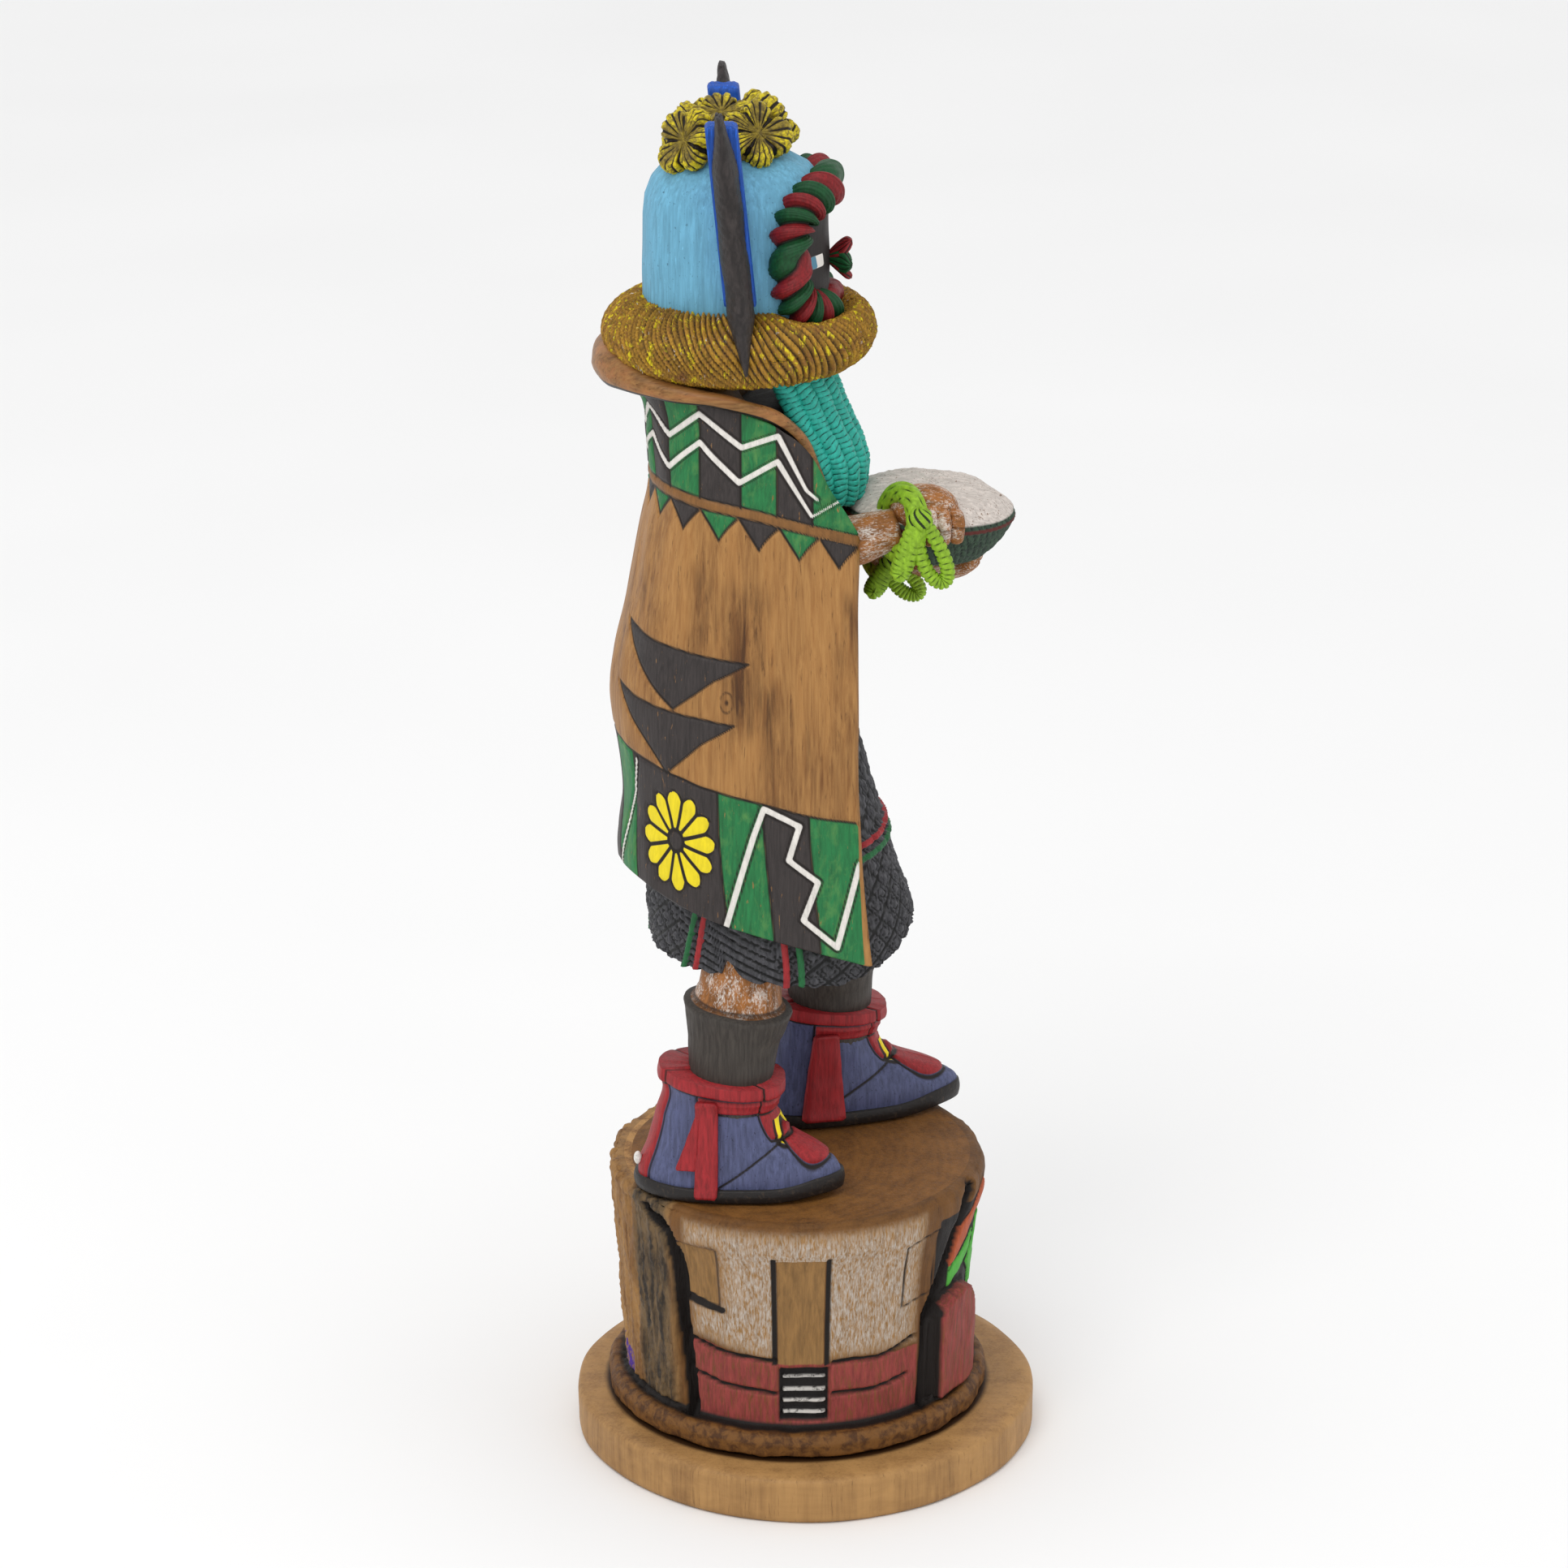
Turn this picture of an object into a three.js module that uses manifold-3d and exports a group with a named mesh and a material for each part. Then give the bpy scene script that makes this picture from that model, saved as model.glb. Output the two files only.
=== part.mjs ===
// A carved and painted kachina doll, about 300 mm tall: a figure in a long shawl holds out a basket of meal.
// It stands on a stump carved as a pueblo, and the stump stands on a round plinth.
// Millimetres, x forward (the way the figure faces), y to its left, z up, origin under the plinth's middle.
import * as THREE from "three";
import { mergeVertices } from "three/addons/utils/BufferGeometryUtils.js";
import Module from "manifold-3d";

const wasm = await Module();
wasm.setup();

// Driving dimensions.
const PLINTH_RADIUS = 51;
const PLINTH_THICKNESS = 10.5;
const STUMP = { foot: 42, footHeight: 6, wall: 37.4, lip: 41.4, top: 65.5, shiftX: -1.9 };
const AXIS_X = -14.7; // the figure's own upright axis
const SOLE_THICKNESS = 3;
const TOUCH = 0.3; // gap kept between neighbouring pieces that rest on each other
const HEAD = { radius: 19.5, side: 18, foot: 250, shoulder: 278, top: 289.5 };
const RUFF = { ring: 18.8, out: 9.8, up: 7.7, z: 251.4, dish: 0.75 };
const WING = {
  inner: 16, core: 22.2, edge: 28.5, thick: 2.9, low: 249, high: 302, lean: [-12.4, -17.8],
  rootLow: 261, rootDrop: 3.4, rootThick: 3.4,
};
const BOWL = { x: 25.5, radius: 18, rim: 213.4, depth: 11, heap: 5.4, tilt: 0.06 };
const FINGER = 1.6;
const RIGHT = -1; // the figure's right, the side that the light falls on
const LEFT = 1;
const TURN = 2 * Math.PI;

const mix = (a, b, t) => a + (b - a) * t;
const clamp = (t) => Math.min(1, Math.max(0, t));
const ease = (t) => clamp(t) ** 2 * (3 - 2 * clamp(t));
const degrees = (angle) => (angle * Math.PI) / 180;
const power = (t, n) => Math.sign(t) * Math.abs(t) ** n;

// A smooth function through a few [place, value] pairs.
function profile(...pairs) {
  return (place) => {
    const next = pairs.findIndex(([p]) => p >= place);
    if (next === 0) return pairs[0][1];
    if (next < 0) return pairs[pairs.length - 1][1];
    const [[a, from], [b, to]] = [pairs[next - 1], pairs[next]];
    return mix(from, to, (ease((place - a) / (b - a)) + (place - a) / (b - a)) / 2);
  };
}

// A closed skin from a cylinder: its wall follows surface(angle, height) and its ends close on their own middles.
function sleeve(around, along, surface) {
  const geometry = new THREE.CylinderGeometry(1, 1, 1, around, along);
  const position = geometry.getAttribute("position");
  const middle = (height) => {
    const sum = new THREE.Vector3();
    for (let i = 0; i < around; i++) sum.add(surface((TURN * i) / around, height));
    return sum.divideScalar(around);
  };
  for (let i = 0; i < position.count; i++) {
    const [x, y, z] = [position.getX(i), position.getY(i), position.getZ(i)];
    const height = Math.round((0.5 - y) * along) / along;
    const step = Math.round((Math.atan2(x, z) / TURN) * around);
    const angle = (TURN * ((step + around) % around)) / around;
    const place = Math.hypot(x, z) < 0.5 ? middle(height) : surface(angle, height);
    position.setXYZ(i, place.x, place.y, place.z);
  }
  return solid(geometry);
}

// A closed ring from a torus: surface(round the ring, round the section).
function ring(around, section, surface) {
  const geometry = new THREE.TorusGeometry(2, 1, section, around);
  const position = geometry.getAttribute("position");
  for (let i = 0; i < position.count; i++) {
    const j = Math.floor(i / (around + 1)) % section;
    const k = (i % (around + 1)) % around;
    const place = surface((TURN * k) / around, (TURN * j) / section);
    position.setXYZ(i, place.x, place.y, place.z);
  }
  return solid(geometry);
}

// A merged solid that faces outwards, ready to be joined or cut.
function solid(geometry) {
  geometry.deleteAttribute("normal");
  geometry.deleteAttribute("uv");
  const merged = mergeVertices(geometry, 1e-4);
  const vertProperties = merged.getAttribute("position").array;
  const triVerts = new Uint32Array(merged.index.array);
  let made = new wasm.Manifold(new wasm.Mesh({ numProp: 3, vertProperties, triVerts }));
  if (made.volume() > 0) return made;
  for (let i = 0; i < triVerts.length; i += 3) {
    [triVerts[i + 1], triVerts[i + 2]] = [triVerts[i + 2], triVerts[i + 1]];
  }
  return new wasm.Manifold(new wasm.Mesh({ numProp: 3, vertProperties, triVerts }));
}

const joined = (solids) => solids.reduce((all, one) => all.add(one));

// A round rod along a curve: radius(t) is its half width, flat(t) its height over its width.
function rod(points, radius, { around = 8, along = 12, flat = () => 1, upright = [0, 0, 1] } = {}) {
  const curve = new THREE.CatmullRomCurve3(points.map((p) => new THREE.Vector3(...p)));
  const up = new THREE.Vector3(...upright);
  return sleeve(around, along, (angle, t) => {
    const tangent = curve.getTangentAt(t);
    const side = new THREE.Vector3().crossVectors(up, tangent).normalize();
    const rise = new THREE.Vector3().crossVectors(tangent, side);
    return curve
      .getPointAt(t)
      .addScaledVector(side, radius(t) * Math.cos(angle))
      .addScaledVector(rise, radius(t) * flat(t) * Math.sin(angle));
  });
}

// A tube of one thickness along a curve.
function tube(points, radius, steps, sides = 6) {
  const path = new THREE.CatmullRomCurve3(points.map((p) => new THREE.Vector3(...p)));
  const section = new THREE.Shape(new THREE.Path().absarc(0, 0, radius, 0, TURN).getPoints(sides / 2).slice(0, -1));
  return solid(new THREE.ExtrudeGeometry(section, { steps, bevelEnabled: false, extrudePath: path }));
}

// A ball with three half sizes, turned by Euler angles and set at a place.
function ball(place, sizes, turn = [0, 0, 0], [around, along] = [10, 6]) {
  const geometry = new THREE.SphereGeometry(1, around, along);
  const matrix = new THREE.Matrix4().compose(
    new THREE.Vector3(...place),
    new THREE.Quaternion().setFromEuler(new THREE.Euler(...turn)),
    new THREE.Vector3(...sizes),
  );
  return solid(geometry.applyMatrix4(matrix));
}

// The round slice of wood that everything stands on.
function plinth() {
  const bevel = 0.6;
  const wander = 0.35;
  const radius = (angle) => PLINTH_RADIUS - wander * (1 - Math.cos(4 * angle));
  return sleeve(40, 3, (angle, t) => {
    const inset = t === 0 || t === 1 ? bevel : 0;
    const z = mix(0, PLINTH_THICKNESS, t) + (t > 0.5 && t < 1 ? PLINTH_THICKNESS / 3 - bevel : 0)
      - (t < 0.5 && t > 0 ? PLINTH_THICKNESS / 3 - bevel : 0);
    return new THREE.Vector3(
      (radius(angle) - inset) * Math.cos(angle), (radius(angle) - inset) * Math.sin(angle), z);
  });
}

// The stump: a moulded foot, a wall that widens to a rounded lip, and the relief of the pueblo as steps in it.
function stumpSolid() {
  const lipRound = 1.6;
  const wallFoot = PLINTH_THICKNESS + STUMP.footHeight;
  const low = PLINTH_THICKNESS;
  const levels = [
    [low, STUMP.foot - 0.8], [low + 1, STUMP.foot], [wallFoot - 2, STUMP.foot], [wallFoot, STUMP.foot - 1.6],
    [wallFoot + 0.3, STUMP.wall], [34, STUMP.wall + 0.6], [48, STUMP.wall + 1.8], [55, STUMP.wall + 2.6],
    [58, STUMP.lip], [STUMP.top - lipRound, STUMP.lip + 0.2],
    [STUMP.top - 0.5, STUMP.lip - 0.4], [STUMP.top, STUMP.lip - lipRound],
  ];
  const last = levels.length - 1;
  const around = 40;
  const body = sleeve(around, last, (angle, t) => {
    const [z, r] = levels[Math.round(t * last)];
    return new THREE.Vector3(STUMP.shiftX + r * Math.cos(angle), r * Math.sin(angle), z);
  });
  // A block of the wall between two angles, in degrees from straight ahead towards the figure's left.
  const panel = (from, to, bottom, top, deep, high, flare = 0) =>
    sleeve(8, 1, (angle, t) => {
      const [c, s] = [Math.cos(angle), Math.sin(angle)];
      const edge = Math.max(Math.abs(c), Math.abs(s));
      const at = degrees(mix(from, to, (c / edge + 1) / 2));
      const r = mix(deep, high - flare * (1 - t), (s / edge + 1) / 2);
      return new THREE.Vector3(
        STUMP.shiftX + r * Math.cos(at), r * Math.sin(at), mix(bottom, top, t));
    });
  const face = STUMP.wall + 1;
  const post = panel(-180, -126, wallFoot, STUMP.top - 3, face - 5, STUMP.lip - 0.6, 2.6);
  const doorway = panel(-99, -83, 33, 56.5, face - 1.6, face + 8);
  const ladderWell = panel(-98, -82, wallFoot + 0.4, 31, face - 3, face + 8);
  const backCleft = panel(-125, -120, wallFoot + 0.4, 60, face - 5, face + 8);
  const frontCleft = panel(-50, -43, wallFoot + 0.4, 58, face - 5, face + 8);
  const leaning = panel(-42, -22, wallFoot, 41, face - 6, STUMP.lip + 1.4);
  return joined([body.subtract(doorway).subtract(ladderWell).subtract(backCleft).subtract(frontCleft),
    post, leaning]);
}

// The shawl's outline at a height: back, half width, and the forward edge.
const SHAWL = {
  back: profile([118, -38], [130, -39.6], [139, -40.6], [152, -39.5], [161, -40.2], [168, -41.4], [174, -41.9],
    [180, -41.3], [190, -39.1], [201, -36.8], [212, -34.8], [217, -33.5], [230, -33.8], [237, -34.6], [243, -38]),
  half: profile([118, 31], [150, 29.5], [175, 28.5], [200, 27], [220, 25.5], [232, 23.5], [243, 22.5]),
  edge: profile([118, 14.3], [135, 12.6], [150, 11.2], [218, 10.8]),
  tuck: profile([118, 0.5], [150, 1.5], [218, 3.5]),
  cornerX: -14,
};
const ROUND_SHARE = 0.64; // the share of half the shawl that bends round the back

// The place on the shawl: s runs from -1 at its right-hand edge over 0 at the back to 1 at its left-hand edge.
function shawlPlace(s, z) {
  const t = Math.abs(s);
  const [back, half] = [SHAWL.back(z), SHAWL.half(z)];
  if (t <= ROUND_SHARE) {
    const angle = (t / ROUND_SHARE) * (Math.PI / 2);
    const x = SHAWL.cornerX - (SHAWL.cornerX - back) * power(Math.cos(angle), 0.9);
    return [x, Math.sign(s) * half * power(Math.sin(angle), 0.9)];
  }
  const q = (t - ROUND_SHARE) / (1 - ROUND_SHARE);
  return [mix(SHAWL.cornerX, SHAWL.edge(z), q), Math.sign(s) * (half - SHAWL.tuck(z) * q * q)];
}

const hemHeight = profile([0, 136], [0.25, 136.6], [0.5, 132.2], [0.75, 126.2], [1, 120.6]);
const topHeight = profile([0, 245], [0.3, 243], [0.62, 240], [0.76, 236], [0.86, 230], [0.92, 222],
  [0.955, 217.5], [1, 213.6]);

function shawl() {
  const frontShare = 0.14; // the share of the outline that closes across the chest
  const chest = 5; // how far the chest lies behind the shawl's edges
  const lip = 3.4; // the shawl's thickness at its edges
  return sleeve(36, 10, (angle, t) => {
    const share = angle / TURN;
    const fromFront = Math.min(share, 1 - share);
    const side = share < 0.5 ? LEFT : RIGHT;
    const s = side * (fromFront < frontShare ? 1 : 1 - (fromFront - frontShare) / (0.5 - frontShare));
    const z = mix(hemHeight(Math.abs(s)), topHeight(Math.abs(s)), t);
    const [x, y] = shawlPlace(Math.abs(s) < 1e-9 ? 1e-9 : s, z);
    if (fromFront >= frontShare - 1e-9) return new THREE.Vector3(x, y, z);
    const inward = 1 - fromFront / frontShare;
    const back = chest * ease(inward * 4);
    return new THREE.Vector3(x - back, side * (Math.abs(y) - lip) * (1 - inward) ** 0.7, z);
  });
}

// The collar: a roll that stands out at the back and runs down to the chest on both sides.
function collar() {
  const half = [
    [-41.6, 0, 245.4], [-38.4, -12, 245], [-29, -20, 243.4], [-14.5, -23.6, 241.4], [-6, -21, 237.6],
    [-1, -18, 231.8], [1.6, -16.6, 225], [3.4, -17, 219.5],
  ];
  const mirrored = half.slice(1).map(([x, y, z]) => [x, -y, z]);
  const points = [...half.slice().reverse(), ...mirrored];
  const thick = (t) => mix(1.5, 3.2, ease(1 - Math.abs(t - 0.5) * 3.4));
  return rod(points, thick, { around: 6, along: 24, flat: (t) => mix(1, 1.35, ease(1 - Math.abs(t - 0.5) * 5)) });
}

// The dress under the shawl, wider and turned at the hem because the left leg steps forward.
const DRESS = {
  turn: degrees(20),
  x: profile([105, -4.8], [118, -5], [135, -8], [165, -13], [235, -14]),
  y: profile([105, 2], [140, 1], [170, 0]),
  long: profile([105, 27.4], [112, 28.6], [119, 29.2], [135, 27.2], [150, 25.6], [165, 24], [200, 22], [235, 15]),
  wide: profile([105, 28.6], [120, 28.6], [135, 26.6], [150, 25], [200, 21], [235, 17]),
  twist: profile([110, 1], [165, 0]),
};
function dressPlace(angle, z) {
  const turn = DRESS.turn * DRESS.twist(z);
  const [a, b] = [DRESS.long(z) * Math.cos(angle), DRESS.wide(z) * Math.sin(angle)];
  return new THREE.Vector3(
    DRESS.x(z) + a * Math.cos(turn) - b * Math.sin(turn),
    DRESS.y(z) + a * Math.sin(turn) + b * Math.cos(turn), z);
}
const dressHem = (angle) => 114.4 + 7.6 * ease((Math.cos(angle + degrees(5)) - 0.1) / 0.9);
function dress() {
  return sleeve(24, 7, (angle, t) => dressPlace(angle, mix(dressHem(angle), 236, t ** 1.35)));
}

// One leg with its legging and boot. The boots turn outwards, and the left one stands a step ahead.
const FEET = {
  right: { x: -17, y: -19.5, toe: degrees(-8), leg: -14, legY: -16, reach: 1 },
  left: { x: 5.2, y: 21, toe: degrees(11), leg: 4.2, legY: 19.4, reach: 1.34 },
};
const BOOT = {
  low: STUMP.top + TOUCH + 0.1,
  ahead: profile([0, 24.5], [0.1, 25], [0.2, 24], [0.32, 20.5], [0.46, 14.5], [0.62, 11.6], [0.85, 11.4],
    [0.86, 12], [1, 12.2]),
  behind: profile([0, 19.4], [0.12, 19.6], [0.35, 17.4], [0.6, 15.6], [0.85, 14.4], [0.86, 14.9], [1, 14.5]),
  wide: profile([0, 10], [0.12, 10.4], [0.3, 9.8], [0.6, 9.6], [0.85, 10.4], [0.86, 10.9], [1, 11.2]),
  ankle: 11.4,
  top: 93,
  curl: 2.4, // how far the toe turns up
};
const toeCurl = (c) => BOOT.curl * ease((c - 0.45) / 0.55);
function bootLength(c, t, foot) {
  return c > 0 ? BOOT.ankle + (BOOT.ahead(t) - BOOT.ankle) * foot.reach : BOOT.behind(t);
}
function boot(foot) {
  const turned = (x, y, z) => new THREE.Vector3(
    foot.x + x * Math.cos(foot.toe) - y * Math.sin(foot.toe),
    foot.y + x * Math.sin(foot.toe) + y * Math.cos(foot.toe), z);
  const upper = sleeve(14, 9, (angle, t) => {
    const c = Math.cos(angle);
    const length = bootLength(c, t, foot);
    const slope = 1.6 * c * ease(t * 1.4 - 0.4);
    return turned(length * c, BOOT.wide(t) * Math.sin(angle) * (1 - 0.16 * c * (1 - t)),
      mix(BOOT.low + 1, BOOT.top, t) - slope + toeCurl(c) * (1 - t) ** 3);
  });
  const sole = sleeve(14, 1, (angle, t) => {
    const c = Math.cos(angle);
    const length = bootLength(c, 0, foot) + 1;
    return turned(length * c, (BOOT.wide(0) + 0.9) * Math.sin(angle) * (1 - 0.16 * c),
      BOOT.low + (t === 0 ? toeCurl(c) * 0.6 : SOLE_THICKNESS + toeCurl(c)));
  });
  return upper.add(sole);
}
function leg(foot) {
  const centreX = profile([84, foot.x + 0.4], [118, foot.leg]);
  const centreY = profile([84, foot.y], [118, foot.legY]);
  const radius = profile([84, 9], [92, 9.2], [100, 10], [106, 11.4], [107.4, 11.7], [107.8, 9.6], [112, 9.4],
    [125, 10.5]);
  const tilt = 0.09;
  return sleeve(12, 9, (angle, t) => {
    const z = [84, 92, 100, 106, 107.4, 107.8, 110, 113, 118, 125][Math.round(t * 9)];
    const lean = tilt * radius(z) * Math.cos(angle) * (z > 100 && z < 109 ? 1 : 0);
    return new THREE.Vector3(
      centreX(z) + radius(z) * Math.cos(angle), centreY(z) + radius(z) * Math.sin(angle), z - lean);
  });
}

// The case mask: upright sides, a flat black face ahead and a rounded crown.
function head() {
  const scale = profile([HEAD.foot, 1], [HEAD.shoulder, 0.985], [280, 0.94], [284, 0.84], [287, 0.66], [HEAD.top, 0.3]);
  const heights = [HEAD.foot - 12, HEAD.foot, 262, HEAD.shoulder, 280, 283, 285.5, 287.5, HEAD.top];
  return sleeve(24, heights.length - 1, (angle, t) => {
    const z = heights[Math.round(t * (heights.length - 1))];
    return new THREE.Vector3(
      AXIS_X + HEAD.radius * scale(z) * Math.cos(angle), HEAD.side * scale(z) * Math.sin(angle), z);
  });
}

// The ruff: a thick bound ring round the neck, hollowed at the front where the face's rope rests on it.
function ruff() {
  const notch = 0.35;
  return ring(32, 8, (round, section) => {
    const swell = 1 + (notch / RUFF.out) * Math.cos(20 * round + 3 * section);
    const r = RUFF.ring + RUFF.out * swell * Math.cos(section);
    const tilt = 0.01 * r * Math.cos(round);
    const hollow = RUFF.dish * ease((Math.cos(round) - 0.35) / 0.45) * ease((0.8 - Math.cos(section)) / 0.9);
    const rise = Math.sin(section) * (Math.sin(section) > 0 ? 1 - hollow : 1);
    return new THREE.Vector3(AXIS_X + 0.6 + r * Math.cos(round), r * Math.sin(round),
      RUFF.z + tilt + RUFF.up * swell * rise);
  });
}

// The two-strand rope that frames the face. Its line lies on the mask's own curve.
const ROPE = { radius: 4.6, turns: 12, low: 257, high: 282, sideAngle: degrees(53), sunk: 1 };
function ropeLine(t) {
  const c = Math.cos(t * TURN);
  const s = Math.sin(t * TURN);
  const out = HEAD.radius - ROPE.sunk;
  const angle = ROPE.sideAngle * power(s, 0.6);
  const z = mix(ROPE.low, ROPE.high, (power(c, 0.62) + 1) / 2);
  return new THREE.Vector3(AXIS_X + out * Math.cos(angle), (out + 1.5) * Math.sin(angle), z);
}
function rope() {
  const step = 1e-3;
  return ring(48, 5, (round, section) => {
    const t = round / TURN;
    const middle = ropeLine(t);
    const tangent = ropeLine(t + step).sub(ropeLine(t - step)).normalize();
    const outward = new THREE.Vector3(middle.x - AXIS_X, middle.y, 0).normalize();
    const side = new THREE.Vector3().crossVectors(tangent, outward).normalize();
    outward.crossVectors(side, tangent);
    const lobe = 0.82 + 0.18 * Math.cos(2 * (section - ROPE.turns * round));
    return middle
      .addScaledVector(outward, ROPE.radius * lobe * Math.cos(section))
      .addScaledVector(side, ROPE.radius * lobe * Math.sin(section));
  });
}

// Blossoms, each a lobed button: five on the crown and one at the mouth.
const MOUTH = { at: [5.2, 0, 267.2], facing: [1, 0, 0], size: 4.7, deep: 1.5 };
const BLOSSOMS = [
  { at: [-24.5, -6.5, 292], facing: [-0.65, -0.62, 0.45], size: 6.6 },
  { at: [-10.2, -6, 293.2], facing: [0.3, -0.75, 0.6], size: 6.6 },
  { at: [-17.5, 2.6, 295.2], facing: [-0.05, -0.25, 1], size: 6.2 },
  { at: [-7.8, 6.5, 294], facing: [0.7, 0.4, 0.62], size: 6.4 },
  { at: [-24, 8.5, 291.5], facing: [-0.6, 0.66, 0.5], size: 6.2 },
];
function blossom({ at, facing, size, deep = 1 }) {
  const petals = 6;
  const turn = new THREE.Quaternion().setFromUnitVectors(
    new THREE.Vector3(0, 0, 1), new THREE.Vector3(...facing).normalize());
  const rows = [[0.3, -0.55], [0.9, -0.3], [1, 0.15], [0.7, 0.42]];
  return sleeve(12, rows.length - 1, (angle, t) => {
    const [wide, high] = rows[Math.round(t * (rows.length - 1))];
    const r = size * wide * (1 + (wide > 0.5 ? 0.17 : 0.04) * Math.cos(petals * angle));
    return new THREE.Vector3(r * Math.cos(angle), r * Math.sin(angle), size * high * deep)
      .applyQuaternion(turn).add(new THREE.Vector3(...at));
  });
}
function crown() {
  const mound = ball([AXIS_X - 0.5, 0.5, 289], [9.5, 9.5, 5.5], [0, 0, 0], [10, 4]);
  return joined([mound, ...BLOSSOMS.map(blossom)]);
}

// Strings of turquoise that hang from the neck over the chest, side by side round its front.
const STRANDS = { count: 11, spread: degrees(84), wide: 15.6, deep: 9.6, radius: 2.3 };
function necklaces() {
  const front = [[1.5, 248], [6.6, 235], [11, 223], [10.4, 214.6]];
  const made = [];
  for (let i = 0; i < STRANDS.count; i++) {
    const round = mix(-STRANDS.spread, STRANDS.spread, i / (STRANDS.count - 1));
    const back = STRANDS.deep * (1 - Math.cos(round));
    const points = front.map(([x, z], k) => [
      x - back * (1 - 0.06 * k), STRANDS.wide * Math.sin(round) * (1 - 0.07 * k), z + (k === 3 ? 0.25 * back : 0)]);
    made.push(rod(points, (t) => STRANDS.radius - 0.4 * ease(t * 3 - 2), { around: 5, along: 4, upright: [0, 1, 0] }));
  }
  return joined(made);
}

// The arms come out of the shawl's edges and hold the basket, the right from the side and the left from below.
function arms() {
  const forearm = (points, wrist) => rod(points, (t) => mix(6.4, wrist, t), { around: 10, along: 4 });
  const right = forearm([[-1, -14, 206.5], [10, -15.8, 210.3], [19.5, -15.5, 213]], 4.4);
  const left = forearm([[-2, 17, 209], [9, 15.6, 205.5], [20, 9.5, 199.6]], 5.2);
  const rightHand = ball([24.3, -13.4, 216.2], [7.2, 5.6, 5.4], [0.25, 0.05, 0.1], [8, 6]);
  const leftHand = ball([27.2, 4, 200.2], [8.6, 8, 4], [0, 0.12, -0.3], [10, 5]);
  const fingers = [];
  for (let i = 0; i < 3; i++) {
    const x = 25 + 2.8 * i;
    const y = -19.6 + 0.5 * i * i;
    fingers.push(tube([[x, y + 2.6, 218 - i], [x + 0.4, y, 214.6], [x, y + 0.6, 210]], FINGER, 3));
    fingers.push(tube([[28, 8.4 - 4.4 * i, 199.6], [33, 6 - 4.4 * i, 200.4], [37.6 - i, 3.4 - 4.2 * i, 203.2]],
      FINGER, 3));
  }
  return joined([right, left, rightHand, leftHand, ...fingers]);
}

// Yarn tied round a wrist, with two loops hanging from the knot.
function yarn({ wrist, across, down, thick = 2.6 }) {
  const [wx, wy, wz] = wrist;
  const band = ring(10, 4, (round, section) => {
    const r = 6.2 + 1.7 * Math.cos(section);
    return new THREE.Vector3(wx + 1.9 * Math.sin(section) + 0.16 * r * Math.sin(round), wy + r * Math.cos(round),
      wz + r * Math.sin(round));
  });
  const loop = (way, wide, long) => ring(10, 4, (round, section) => {
    const slim = thick * (0.82 + 0.18 * Math.cos(round));
    const u = wide * Math.sin(round) * (1 - 0.35 * Math.cos(round));
    const v = -long * (1 - Math.cos(round)) / 2;
    const out = slim * Math.cos(section);
    const normal = [Math.sin(round), -Math.cos(round)];
    return new THREE.Vector3(
      wx + across[0] + way * (-v * 0.22) + u + out * normal[0] * 0.9,
      wy + across[1] + slim * Math.sin(section),
      wz + across[2] + v * down + out * -normal[1] * 0.9);
  });
  const knot = ball([wx + across[0], wy + across[1], wz + across[2]], [3.2, 2.8, 2.8], [0, 0, 0], [6, 4]);
  return joined([band, knot, loop(-1, 2.9, 11.5), loop(1, 3.4, 13.5)]);
}
const RIGHT_YARN = { wrist: [19.4, -16.8, 214.4], across: [3.6, -6.4, 2.6], down: 1 };
const LEFT_YARN = { wrist: [16.6, 12, 201], across: [1.5, -5.4, -2.4], down: 0.55 };

// The basket and the meal heaped in it, one carving of its own.
function basket(grow = 0) {
  const rows = [[0.3, -1], [0.62, -0.93], [0.84, -0.62], [0.97, -0.28], [1.02, -0.06], [1, 0.02]];
  const heap = [[0.96, 0.14], [0.78, 0.62], [0.45, 0.92], [0.12, 1]];
  const count = rows.length + heap.length - 1;
  return sleeve(24, count, (angle, t) => {
    const i = Math.round(t * count);
    const [wide, high] = i < rows.length ? rows[i] : heap[i - rows.length];
    const r = (BOWL.radius + grow) * wide;
    const z = high * (i < rows.length ? BOWL.depth : BOWL.heap) + (i < rows.length - 2 ? -grow : grow);
    const [x, y] = [r * Math.cos(angle), r * Math.sin(angle)];
    return new THREE.Vector3(BOWL.x + x + BOWL.tilt * z, y, BOWL.rim + z - BOWL.tilt * x);
  });
}

// A crow's wing, standing out from the side of the mask: a blue root and a thinner black blade.
function wing(side, grow = 0) {
  const leanAt = (z) => mix(WING.lean[0], WING.lean[1], (z - WING.low) / (WING.high - WING.low));
  const blade = sleeve(8, 10, (angle, t) => {
    const z = mix(WING.low - grow, WING.high + grow, t);
    const taper = Math.min(1, 0.1 + t * 4.4, 0.28 + (1 - t) * 3.2);
    const thick = WING.thick * taper + grow;
    const outer = WING.edge + 2.2 * (1 - t) ** 2;
    const inner = mix(WING.inner, outer - 3.4, ease((0.24 - t) / 0.2)) + 6 * ease((t - 0.86) / 0.14);
    const y = mix(inner - grow, outer + grow, (Math.sin(angle) + 1) / 2);
    return new THREE.Vector3(leanAt(z) + thick * Math.cos(angle), side * y, z);
  });
  const root = sleeve(8, 4, (angle, t) => {
    const z = mix(WING.rootLow - grow, WING.high - WING.rootDrop + grow, t);
    const [c, s] = [Math.cos(angle), Math.sin(angle)];
    const edge = Math.max(Math.abs(c), Math.abs(s));
    const y = mix(WING.inner - grow, WING.core + grow, (s / edge + 1) / 2);
    return new THREE.Vector3(leanAt(z) + ((WING.rootThick + grow) * c) / edge, side * y, z);
  });
  return blade.add(root);
}

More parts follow.
